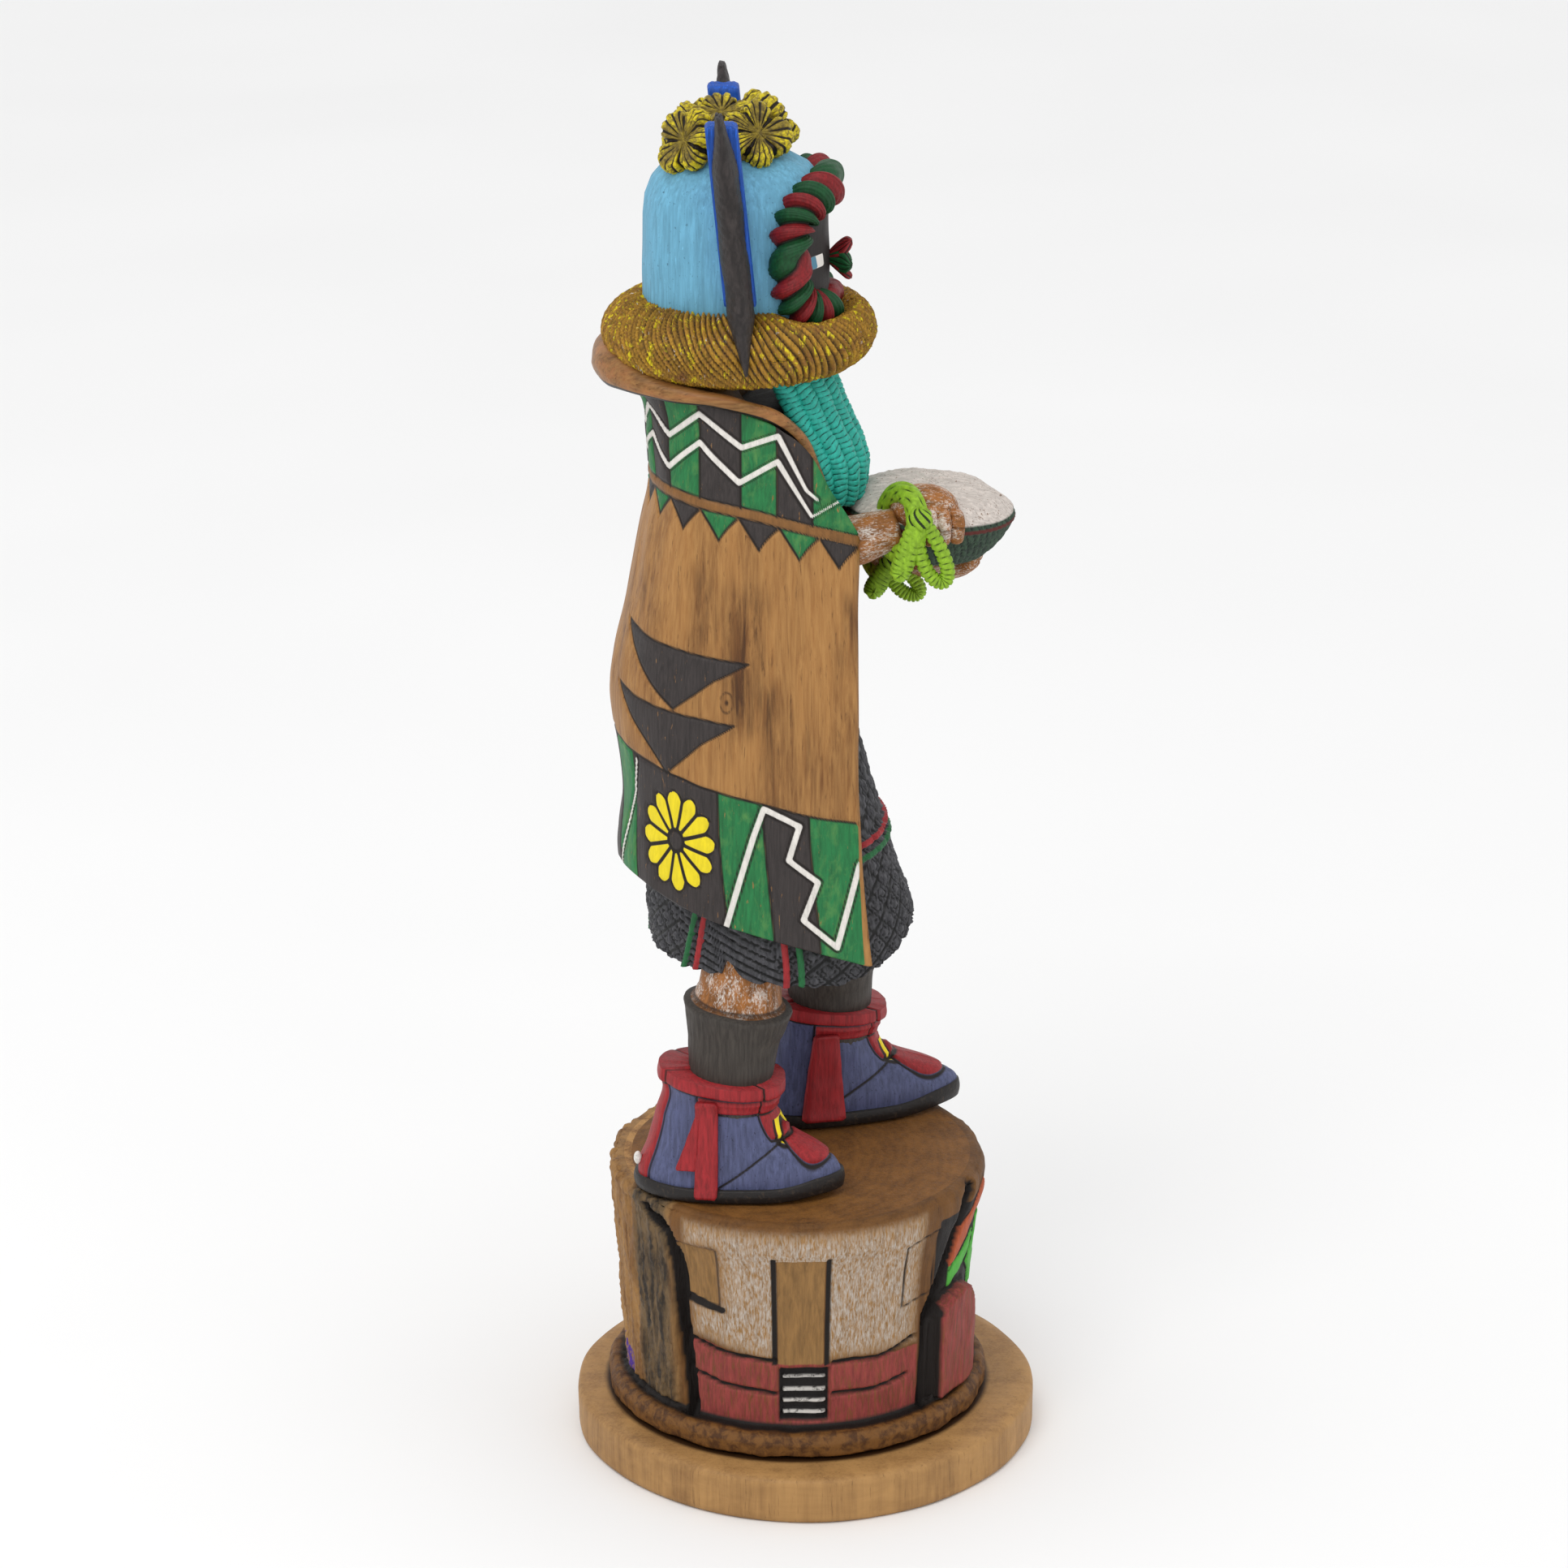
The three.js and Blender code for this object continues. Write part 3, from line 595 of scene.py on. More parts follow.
def shawl_place(u, v):
    """The shawl as a closed form: hem, outside, neck, and a hollow front across the chest."""
    u = np.clip(u, 0, 1)
    share, chest = shawl_share(u)
    t = np.clip((v - SHAWL_END) / (1 - 2 * SHAWL_END), 0, 1)
    z = mix(SHAWL_HEM(np.abs(share)), SHAWL_TOP(np.abs(share)), t)
    x, y = shawl_wall(share, z)
    turned = np.clip(1 - (1 - np.abs(share)) / 0.016, 0, 1)
    y = y - np.sign(y) * 0.7 * turned ** 2
    x = x - 5 * ease(chest * 4)
    y = y * (1 - chest) ** 0.7
    ends = np.clip(np.minimum(v, 1 - v) / SHAWL_END, 0, 1) ** 0.6
    return np.stack([mix(-14.7, x, ends), y * ends, z])


def fill_columns(a, edges, within, design):
    """Fills columns between the edges with green and black by turns, and gives the distance to an edge."""
    to_edge = np.min([np.abs(a - edge) for edge in edges], axis=0)
    odd = np.searchsorted(edges, a) % 2 == 1
    for tint, inside in (("green", ~odd), ("black", odd)):
        deep = np.minimum(within, np.where(inside, to_edge, -to_edge))
        design[tint] = np.maximum(design[tint], deep)
    return to_edge


def upper_band(a, z, design):
    """Columns of green and black over the stripe, with two white zigzags and the dags below it."""
    line, burn, pitch = (setting("doll_shawl", name) for name in ("line", "burn", "dag"))
    above = z - STRIPE(a) - STRIPE_HALF
    to_block = fill_columns(a, BLOCKS, above, design)
    rules = burn * 0.7 - np.abs(np.abs(z - STRIPE(a)) - STRIPE_HALF - 0.15)
    outline = np.maximum(rules, np.minimum(burn * 0.75 - to_block, above + 0.5))
    for zigzag in ZIGZAGS:
        off = distance_to_line(a, z, zigzag)
        thin = line / 2 * mix(0.6, 1, ease((a - 9) / 9))
        design["white"] = np.maximum(design["white"], thin - off)
        outline = np.maximum(outline, np.minimum(burn * 0.6 - np.abs(off - thin - burn / 2), above + 0.4))
    dag = np.floor(a / pitch)
    root = STRIPE(a) - STRIPE_HALF - 0.2
    tip = DAG_TIPS((dag + 0.5) * pitch)
    reach = np.abs(a / pitch - dag - 0.5) * 2
    hang = np.minimum((z - mix(tip, root, reach ** 0.85)) * 0.55, root - z)
    design["black"] = np.maximum(design["black"], only(dag % 2 == 0, hang))
    design["green"] = np.maximum(design["green"], only(dag % 2 == 1, hang))
    outline = np.maximum(outline, np.minimum(burn * 0.75 - np.abs(hang), root - z))
    design["burn"] = np.maximum(design["burn"], outline)
    design["stripe"] = STRIPE_HALF - np.abs(z - STRIPE(a))


def lower_band(a, z, design):
    """Columns of green and black along the hem, with a stepped white line and a yellow flower."""
    line, burn = (setting("doll_shawl", name) for name in ("line", "burn"))
    below = BAND_TOP(a) - z
    to_edge = fill_columns(a, BAND_BLOCKS, below, design)
    outline = np.maximum(burn * 0.8 - np.abs(below), np.minimum(burn * 0.75 - to_edge, below))
    for corners, half in ((STEPS, line * 0.54), (SIDE_LINE, line * 0.3)):
        off = distance_to_line(a, z, corners)
        design["white"] = np.maximum(design["white"], np.minimum(half - off, below + 0.5))
        outline = np.maximum(outline, np.minimum(burn * 0.7 - np.abs(off - half - burn / 2), below))
    design["burn"] = np.maximum(design["burn"], outline)
    flower(a, z, design)


def flower(a, z, design):
    """Petals as slim drops round a dark eye, each with its own burnt outline."""
    petals = setting("doll_shawl", "petals")
    across, up = (a - FLOWER["around"]) / FLOWER["wide"], (z - FLOWER["z"]) / FLOWER["tall"]
    out = np.hypot(across, up)
    petal = np.abs((np.arctan2(up, across) / TURN * petals + 0.5) % 1 - 0.5) * TURN / petals
    gap = 0.034
    plump = 0.2 * np.sin(np.clip((out - 0.24) / 0.76, 0, 1) ** 1.2 * math.pi) ** 0.4 - petal * out
    apart = (math.pi / petals - petal) * out - gap
    yellow = np.minimum(np.minimum(plump, apart), np.minimum(out - 0.24, 1 - out)) * FLOWER["wide"]
    design["yellow"] = yellow
    rim = np.minimum(0.42 - np.abs(yellow + 0.3), (1.06 - out) * FLOWER["wide"])
    eye = 0.25 - np.abs(out - 0.18) * FLOWER["wide"]
    design["burn"] = np.max([design["burn"], rim, eye], axis=0)


def stain(a, z, around, low, high, wide, strength):
    """A streak of darker wood, which wavers on its way up."""
    wavering = a - around + 0.7 * np.sin(z / 5)
    return dab(wavering, wide, strength) * ease((z - low) / 7) * ease((high - z) / 7)


def shawl_design(share, z):
    """What is painted and burnt on the shawl, as distances into each paint."""
    a = shawl_distance(share, z)
    marks = ("green", "black", "white", "yellow", "burn", "stripe")
    design = {mark: np.full(a.shape, NOWHERE) for mark in marks}
    upper_band(a, z, design)
    lower_band(a, z, design)
    for corners in TRIANGLES:
        deep = inside_shape(a, z, corners)
        design["black"] = np.maximum(design["black"], deep)
        design["burn"] = np.maximum(design["burn"], setting("doll_shawl", "burn") * 0.75 - np.abs(deep))
    rim = a - 0.4 - 1.3 * ease((154 - z) / 34)
    for tint in ("green", "black", "white", "burn"):
        design[tint] = np.where(z < BAND_TOP(a) + 1, np.minimum(design[tint], rim), design[tint])
    design["stain"] = np.sum([stain(a, z, *one) for one in STAINS], axis=0)
    off = np.hypot((a - KNOT["around"]) / 0.6, z - KNOT["z"])
    design["knot"] = np.maximum(0.45 - np.abs(off - 2.2), 0.9 - off)
    return design


def shawl_marks(u, v):
    share, chest = shawl_share(u)
    design = shawl_design(share, shawl_place(u, v)[2])
    hidden = (chest > 0.3) | (np.minimum(v, 1 - v) < SHAWL_END * 0.5)
    return {mark: np.where(hidden, NOWHERE, value) for mark, value in design.items()}


def shawl_relief(u, v):
    """Knife marks all over, and the burnt lines cut in."""
    share, chest = shawl_share(u)
    z = shawl_place(u, v)[2]
    design = shawl_design(share, z)
    cut = setting("doll_shawl", "cut") * ease((design["burn"] + 0.35) / 0.6)
    cut = np.where(design["white"] > 0.1, 0, cut)
    open_side = np.where((chest > 0) | (np.minimum(v, 1 - v) < SHAWL_END), 0, 1)
    return open_side * (0.16 * waves(shawl_distance(share, z), z * 0.45, 9, 3) - cut - 0.12)


def painted_cottonwood():
    """Oiled cottonwood root with burnt outlines, filled in thin paint that lets the fibres show through."""
    def paint_it(tree):
        hold = holds(tree)
        below = grained(tree, wood("light"), wood("wood"), wood("dark"))
        streaky = streaks(tree, (1.1, 26, 5), 0.3, 0.6, wood("dark"), shade(wood("dark"), 0.45))
        thick = streaks(tree, (1.6, 18, 5), 0.35, 0.6, (0, 0, 0, 1), (1, 1, 1, 1))
        below = lay(tree, below, streaky, "stain", 1.0, thick)
        below = lay(tree, below, shade(wood("dark"), 0.3), "knot", 0.5)
        below = lay(tree, below, brushed(tree, paint("black"), 0.5, 7, dark=2.1), "black", worn=hold)
        below = lay(tree, below, mottled_green(tree), "green", worn=hold)
        below = lay(tree, below, brushed(tree, shade(wood("wood"), 0.8)), "stripe")
        below = lay(tree, below, brushed(tree, paint("yellow"), 0.6, 3, dark=0.8), "yellow")
        below = lay(tree, below, wood("burn"), "burn", 0.3)
        return lay(tree, below, brushed(tree, paint("white"), 0.6, 3, dark=0.72), "white", 0.15)
    return material_of("cottonwood_burnt_and_painted", paint_it,
                       [(0.45, 9, 0.09, "Z"), (1.6, 30, 0.12, "Z")], 0.5)


def mottled_green(tree):
    """The green paint, thin and yellower in places and darker where it pooled in the grain."""
    below = brushed(tree, paint("green"), 0.7, 6, low=0.3, dark=0.5)
    return streaks(tree, (2.4, 5, 5), 0.5, 0.74, below, hex_colour("#4D8445"))


def rubbed_cottonwood():
    """The same wood where hands rub it: redder, with painted shade along the underside of the roll, and a
    soft shine.
    """
    def paint_it(tree):
        light, dark = shade(wood("light"), 0.8), shade(wood("dark"), 0.7)
        below = grained(tree, light, hex_colour("#9B6135"), dark, "X", 4)
        # painted shade: the dark underside of the collar's roll
        return lay(tree, below, wood("burn"), "burn", 0.8)
    return material_of("cottonwood_rubbed_red", paint_it, [(0.5, 8, 0.08, "X")], 0.42)


COLLAR_HALF = (
    (-41.6, 0, 245.4), (-38.4, -12, 245), (-29, -20, 243.4), (-14.5, -23.6, 241.4), (-6, -21, 237.6),
    (-1, -18, 231.8), (1.6, -16.6, 225), (3.4, -17, 219.5))


def make_shawl():
    body = skin("shawl", shawl_place, 296, 292, shawl_relief, shawl_marks)
    finish(body, painted_cottonwood(), "figure")


def make_collar():
    """The shawl's rolled edge: widest behind the neck, running down to the chest on both sides."""
    line = path(*COLLAR_HALF[::-1], *[(x, -y, z) for x, y, z in COLLAR_HALF[1:]])

    def from_back(t):
        return np.abs(t - 0.5)

    def thick(t):
        return mix(1.45, 3.2, ease(1 - from_back(t) * 3.4))

    def tall(t):
        return thick(t) * mix(1, 1.35, ease(1 - from_back(t) * 5))

    def relief(u, v):
        return 0.12 * waves(u * 20, v * 130, 8, 11)

    # The underside of the roll, a third of the way round, is marked for painted shade.
    def marks(u, v):
        return {"burn": only(np.abs(u - 0.75) < 0.16, 1.0)}
    collar = skin("shawl_collar", sweep(line, thick, tall, blunt=0.02), 28, 180, relief, marks)
    finish(collar, rubbed_cottonwood(), "figure")


# The head: case mask, face, rope, ruff, blossoms and wings

AXIS_X = -14.7  # the figure's own upright axis
MASK_REACH = 19  # the mask's mean radius
MASK_OUTLINE = (  # share of the mask's radius, and height
    (0, 248), (0.99, 248), (1, 256), (0.998, 266), (0.985, 276), (0.965, 280), (0.9, 283.4), (0.78, 286.2),
    (0.6, 288.2), (0.36, 289.3), (0, 289.8))
ROPE_LOW = 257
ROPE_HIGH = 282
ROPE_SIDE = math.radians(53)  # how far round the mask the rope's sides lie
ROPE_SUNK = 1
RUFF_Z = 251.4
RUFF_DISH = 0.75  # how far the ruff is hollowed under the rope, as a share of its height
MOUTH = {"x": 4.2, "z": 266.4, "ahead": 5, "out": 4.4, "first": math.radians(118), "petals": 5}
BLOSSOMS = (
    {"at": (-24.5, -6.5, 292), "facing": (-0.65, -0.62, 0.45), "size": 6.6},
    {"at": (-10.2, -6, 293.2), "facing": (0.3, -0.75, 0.6), "size": 6.6},
    {"at": (-17.5, 2.6, 295.2), "facing": (-0.05, -0.25, 1), "size": 6.2},
    {"at": (-7.8, 6.5, 294), "facing": (0.7, 0.4, 0.62), "size": 6.4},
    {"at": (-24, 8.5, 291.5), "facing": (-0.6, 0.66, 0.5), "size": 6.2},
)
WING = {
    "inner": 16, "core": 22.2, "edge": 28.5, "thick": 2.9, "low": 249, "high": 301.7,
    "lean": (-12.4, -17.8),  # where the middle of the blade lies at its foot and at its tip
    "root_low": 261, "root_high": 298.6, "root_thick": 3.4,
}


def rope_line(t):
    """The rope's middle line, on the mask's own curve."""
    c, s = np.cos(t * TURN), np.sin(t * TURN)
    out = setting("doll_head", "radius") - ROPE_SUNK
    angle = ROPE_SIDE * signed_power(s, 0.6)
    z = mix(ROPE_LOW, ROPE_HIGH, (signed_power(c, 0.62) + 1) / 2)
    return np.stack([AXIS_X + out * np.cos(angle), (out + 1.5) * np.sin(angle), z])


def mask_place(u, v):
    """The case mask: upright sides and a rounded crown, closed on its own middle at both ends."""
    r, z = profile([(share * MASK_REACH, height) for share, height in MASK_OUTLINE])(v)
    long, wide = (setting("doll_head", name) * r / MASK_REACH for name in ("radius", "side"))
    return ring((AXIS_X, 0), long, wide, TURN * u, z)


def mask_plan(u, v):
    """Arc from the middle of the face, and height, for each point of the mask."""
    return ((u + 0.5) % 1 - 0.5) * TURN * setting("doll_head", "radius"), mask_place(u, v)[2]


def mask_marks(u, v):
    arc, z = mask_plan(u, v)
    rope = rope_line(np.linspace(0, 1, 41)[:-1])
    turned = np.arctan2(rope[1], rope[0] - AXIS_X) * setting("doll_head", "radius")
    face = inside_shape(arc, z, list(zip(turned, rope[2])))
    slant = np.abs(arc) - 9.9 - 0.25 * (z - 267.6)
    eye = np.minimum(2.7 - np.abs(slant), 1.35 - np.abs(z - 267.6))
    return {"face": face, "eye": eye, "pupil": np.minimum(eye, slant - 0.4)}


def mask_relief(u, v):
    """Knife facets all over."""
    arc, z = mask_plan(u, v)
    return 0.14 * waves(arc, z * 0.5, 8, 5) - 0.15


def painted_mask():
    """Chalky sky-blue paint streaked along the grain, and a flat black face with white eyes."""
    def paint_it(tree):
        sky = streaks(tree, (0.8, 9, 6), 0.35, 0.7, paint("sky"), shade(paint("sky"), 0.62))
        below = streaks(tree, (6, 14, 4), 0.5, 0.75, sky, shade(paint("sky"), 0.78))
        below = streaks(tree, (0.5, 2.2, 5), 0.62, 0.78, below, shade(paint("sky"), 1.25))
        below = streaks(tree, (0.7, 0.9, 4), 0.64, 0.7, below, shade(paint("sky"), 0.35))
        below = lay(tree, below, brushed(tree, shade(paint("black"), 0.7), 0.6, 6, dark=1.8), "face")
        below = lay(tree, below, paint("white"), "eye")
        return lay(tree, below, shade(paint("sky"), 0.55), "pupil")
    return material_of("chalk_blue_painted_wood", paint_it, [(0.5, 7, 0.1, "Z"), (2.5, 8, 0.15, "Z")], 0.62)


def make_mask():
    mask = skin("case_mask", mask_place, 200, 110, mask_relief, mask_marks)
    finish(mask, painted_mask(), "figure")


def rope_around(turns, lines):
    """The place round one strand, and its fine fibres, for a rope of two strands."""
    def marks(u, v):
        around = TURN * u - turns * TURN * v
        fine = np.abs(np.sin(lines * around))
        valley = dab(np.sin(around), 0.42, 1.0) - 0.2
        return {"red": np.sin(around) * 2, "groove": np.maximum(valley, 0.3 - fine)}

    def relief(u, v):
        around = TURN * u - turns * TURN * v
        valley = dab(np.sin(around), 0.6, -0.6)
        return valley + 0.34 * (np.abs(np.sin(lines * around)) ** 0.5 - 1)
    return marks, relief


def make_rope():
    """Two strands, red and green, twisted into one rope that frames the face."""
    radius, turns = setting("doll_head", "rope"), setting("doll_head", "turns")

    def outwards(t):
        line = rope_line(t)
        return unit(np.stack([line[0] - AXIS_X, line[1], 0 * t]))

    def place(u, v):
        v = v % 1
        line = rope_line(v)
        ahead = unit(rope_line((v + 1e-3) % 1) - rope_line((v - 1e-3) % 1))
        side = unit(np.cross(ahead, outwards(v), axis=0))
        out = np.cross(side, ahead, axis=0)
        around = TURN * u
        lobe = radius * (0.86 - 0.14 * np.cos(2 * (around - turns * TURN * v)))
        return line + lobe * (np.cos(around) * out + np.sin(around) * side)
    marks, relief = rope_around(turns, 7)
    rope = skin("face_rope", place, 60, 720, relief, marks)
    finish(rope, dyed_strands(), "figure")


def dyed_strands():
    """Carved strands in worn red and dark green paint, near black down between them."""
    def paint_it(tree):
        green = brushed(tree, shade(paint("green"), 0.42), 0.6, 1.6, dark=0.45)
        red = brushed(tree, shade(paint("red"), 0.72), 0.6, 1.6, dark=0.4)
        below = lay(tree, green, red, "red")
        return lay(tree, below, shade(paint("black"), 0.5), "groove", 0.9)
    return material_of("carved_rope_painted_red_and_green", paint_it, [(0.4, 1.2, 0.08, "Z")], 0.55)


def ruff_place(u, v):
    out, up = setting("doll_head", "ruff_out"), setting("doll_head", "ruff_up")
    around, section = TURN * u, TURN * v
    r = setting("doll_head", "ruff") + out * np.cos(section)
    hollow = RUFF_DISH * ease((np.cos(around) - 0.35) / 0.45) * ease((0.8 - np.cos(section)) / 0.9)
    rise = np.sin(section) * np.where(np.sin(section) > 0, 1 - hollow, 1)
    return ring((AXIS_X + 0.6, 0), r, r, around, RUFF_Z + 0.01 * r * np.cos(around) + up * rise)


def ruff_strands(u, v):
    """Which strand a point of the ruff lies on, and how near that strand's edge."""
    strands = setting("doll_head", "strands")
    wander = 0.9 * np.sin(TURN * (3 * u + v)) + 0.22 * np.sin(TURN * (13 * u - v))
    along = strands * u + 19 * v + wander
    return np.floor(along) % strands, to_seam(along)


def ruff_marks(u, v):
    strand, edge = ruff_strands(u, v)
    return {"groove": (edge - 0.45) * 1.1, "strand": chance(strand)}


def ruff_relief(u, v):
    strand, edge = ruff_strands(u, v)
    crosswise = np.sin(TURN * (v * 34 + chance(strand) * 5)) * 0.05
    return -0.95 * ease((edge - 0.3) / 0.6) + 0.35 * (chance(strand * 3) - 0.6) + crosswise


def twisted_straw():
    """Carved strands in gold and brown, flecked with yellow and white and nearly black in the grooves."""
    def paint_it(tree):
        gold = between(tree, mark_of(tree, "strand"), 0.1, 0.9, shade(paint("straw"), 0.62), paint("straw"))
        red = streaks(tree, (3, 6, 5), 0.52, 0.7, gold, hex_colour("#7E5229"))
        worn = streaks(tree, (0.8, 2.4, 5), 0.5, 0.68, red, shade(paint("straw"), 0.3))
        yellow = streaks(tree, (1.5, 4.5, 4), 0.57, 0.64, worn, shade(paint("yellow"), 0.85))
        dust = streaks(tree, (1.1, 3.2, 5), 0.65, 0.71, yellow, shade(paint("white"), 0.85))
        return lay(tree, dust, shade(wood("stump_dark"), 0.3), "groove", 0.5)
    return material_of("carved_ruff_washed_gold", paint_it, [(0.35, 1.6, 0.12, "Z")], 0.6)


def make_ruff():
    ruff = skin("neck_ruff", ruff_place, 700, 68, ruff_relief, ruff_marks)
    finish(ruff, twisted_straw(), "figure")


# Blossoms

PETAL_WIDE = smooth_through((0, 0), (0.12, 0.34), (0.36, 0.86), (0.58, 1), (0.76, 0.8), (0.9, 0.36), (1, 0))
PETAL_HIGH = smooth_through((0, -0.6), (0.12, -0.52), (0.36, -0.28), (0.58, 0.14), (0.76, 0.42), (0.9, 0.3),
                            (1, 0.16))
PETALS = 5
PETAL_SLITS = 5  # slits on one petal, counting the cleft beside it


def facing_axes(direction):
    """Three axes of which the last one points the given way."""
    ahead = np.array(direction, float) / np.linalg.norm(direction)
    side = np.cross((0.2, 1, 0.1), ahead)
    side /= np.linalg.norm(side)
    return side, np.cross(ahead, side), ahead


def blossom(name, at, facing, size):
    """A rosette of broad petals with deep pockets between them, scored with slits that run outward."""
    axes = facing_axes(facing)

    def petals(u):
        """Petals counted along the rim, uneven in width, and how near each point is to a cleft, up to 1."""
        along = PETALS * u + 0.3 * np.sin(TURN * u + at[0])
        return along, to_seam(along)

    def place(u, v):
        cleft = petals(u)[1]
        wide = PETAL_WIDE(v)
        r = size * wide * (1.12 - 0.36 * cleft ** 2.5 * ease(wide * 2))
        high = size * (PETAL_HIGH(v) - 0.2 * wide * cleft ** 3)
        x, y = r * np.cos(TURN * u), r * np.sin(TURN * u)
        return np.array(at)[:, None] + sum(np.outer(axis, part) for axis, part in zip(axes, (x, y, high)))

    def slits(u, v):
        along, cleft = petals(u)
        on_top = ease((v - 0.3) / 0.14) * ease((0.98 - v) / 0.08)
        slit = ease((to_seam(along * PETAL_SLITS) - 0.5) / 0.4)
        return np.maximum(slit, ease((cleft - 0.8) / 0.15)) * on_top

    def relief(u, v):
        return -0.5 * slits(u, v) - 0.12 * np.sin(TURN * (v * 7 + u * 11)) * ease((v - 0.3) / 0.2)

    def marks(u, v):
        rim = ease((v - 0.38) / 0.16) * ease((0.9 - v + 0.1 * np.sin(31 * u)) / 0.2)
        return {"slit": slits(u, v) - 0.35, "rim": rim - 0.3}
    return skin(name, place, 108, 32, relief, marks)


def painted_blossom():
    """Carved petals brushed yellow on their edges over olive brown, with burnt cuts."""
    def paint_it(tree):
        olive = streaks(tree, (1, 1, 4), 0.4, 0.65, hex_colour("#61521D"), hex_colour("#9B8627"))
        bright = streaks(tree, (0.8, 0.8, 5), 0.42, 0.6, shade(paint("yellow"), 0.8), olive)
        below = lay(tree, olive, bright, "rim", 0.5)
        return lay(tree, below, shade(wood("burn"), 1.2), "slit", 0.35)
    return material_of("carved_blossom_painted_yellow", paint_it, [(0.4, 0.4, 0.1, "Z")], 0.5)


def painted_mouth():
    """The mouth's petals, red and green by turns."""
    def paint_it(tree):
        green = brushed(tree, shade(paint("green"), 0.5), 0.6, 1, dark=0.5)
        below = lay(tree, green, brushed(tree, shade(paint("red"), 0.75), 0.6, 1, dark=0.5), "red")
        return lay(tree, below, wood("burn"), "slit", 0.35)
    return material_of("carved_mouth_painted_red_and_green", paint_it, [(0.4, 0.4, 0.1, "Z")], 0.55)


def mouth_petal(roll, red):
    """One spoon-shaped petal of the mouth, scored along its length."""
    def at(share):
        out = MOUTH["out"] * share
        return (MOUTH["x"] + MOUTH["ahead"] * share, out * math.cos(roll), MOUTH["z"] + out * math.sin(roll))

    def wide(t):
        return 0.8 + 1.8 * np.sin(math.pi * np.clip(t, 0, 1) ** 1.3) ** 0.8

    def groove(u):
        return np.abs(np.sin(TURN * np.cos(TURN * u)))

    def relief(u, v):
        return -0.22 * (1 - groove(u))

    def marks(u, v):
        return {"slit": 0.45 - groove(u), "red": red + 0 * u}
    line = path(at(0), at(0.5), at(1))
    petal = sweep(line, wide, lambda t: 0.9 + 0 * t, up=(1, 0, 0), blunt=0.2)
    return skin("mouth_petal", petal, 48, 20, relief, marks)


def make_blossoms():
    made = [blossom("crown_blossom", **one) for one in BLOSSOMS]

    def mound(u, v):
        r = 9.6 * np.sin(math.pi * v)
        return ring((AXIS_X - 0.5, 0.5), r, r, TURN * u, 289 - 5.4 * np.cos(math.pi * v))
    made.append(skin("crown_mound", mound, 64, 24))
    finish(join("crown_blossoms", made), painted_blossom(), "figure")
    rolls = [MOUTH["first"] + i * TURN / MOUTH["petals"] for i in range(MOUTH["petals"])]
    mouth = join("mouth_petals", [mouth_petal(roll, 1 - 2 * (i % 2)) for i, roll in enumerate(rolls)])
    finish(mouth, painted_mouth(), "figure")


# Wings


def wing_middle(z):
    return mix(*WING["lean"], (z - WING["low"]) / (WING["high"] - WING["low"]))


def wing_blade(side):
    """The black blade of a crow's wing, thickest in the middle and scored across into feathers."""
    def wall(u, v):
        z = mix(WING["low"], WING["high"], v)
        taper = np.minimum(np.minimum(1, 0.12 + v * 4.4), 0.28 + (1 - v) * 3.2)
        outer = WING["edge"] + 2.2 * (1 - v) ** 2
        inner = mix(WING["inner"], outer - 3.4, ease((0.24 - v) / 0.2)) + 6 * ease((v - 0.86) / 0.14)
        y = mix(inner, outer, (np.sin(TURN * u) + 1) / 2)
        return np.stack([wing_middle(z) + WING["thick"] * taper * np.cos(TURN * u), side * y, z])

    def relief(u, v):
        feathers = np.abs(np.sin(math.pi * (v * 26 + 1.5 * np.sin(TURN * u)))) ** 0.6
        return 0.18 * waves(u * 30, v * 26, 7, 21 + side) - 0.22 * (1 - feathers) - 0.1
    return skin("wing_blade", capped(wall, 0.02), 44, 120, relief)


def wing_root(side):
    """The blue root that stands out on both faces of the blade, scored along its length."""
    def wall(u, v):
        z = mix(WING["root_low"], WING["root_high"], v)
        c, s = np.cos(TURN * u), np.sin(TURN * u)
        square = np.maximum(np.abs(c), np.abs(s)) ** 0.85
        y = mix(WING["inner"], WING["core"], (s / square + 1) / 2)
        return np.stack([wing_middle(z) + WING["root_thick"] * c / square, side * y, z])

    def relief(u, v):
        return -0.22 * (1 - np.abs(np.sin(TURN * u * 13)) ** 0.5) - 0.05
    return skin("wing_root", capped(wall, 0.03), 80, 44, relief)


def crow_black():
    """Black paint gone grey on the edges of the knife's facets."""
    def paint_it(tree):
        return streaks(tree, (1.2, 3, 6), 0.42, 0.72, shade(paint("black"), 0.75),
                       shade(paint("black"), 2.0))
    return material_of("cottonwood_painted_black", paint_it, [(0.6, 4, 0.2, "Z"), (2, 5, 0.3, "Z")], 0.5)


def wing_blue():
    """Deep blue paint with pale scratches along the feathers' shafts."""
    def paint_it(tree):
        below = brushed(tree, paint("blue"), 0.6, 7, dark=0.45)
        return streaks(tree, (0.45, 9, 5), 0.58, 0.7, below, shade(paint("blue"), 2.0))
    return material_of("cottonwood_painted_blue", paint_it, [(0.5, 8, 0.14, "Z")], 0.5)


def make_wings():
    for side, node in ((RIGHT, "wing_right"), (LEFT, "wing_left")):
        blade = finish(wing_blade(side), crow_black(), node)
        blade.name = node + "_blade"
        root = finish(wing_root(side), wing_blue(), node)
        root.name = node + "_root"


# The dress, with its cords and lattice

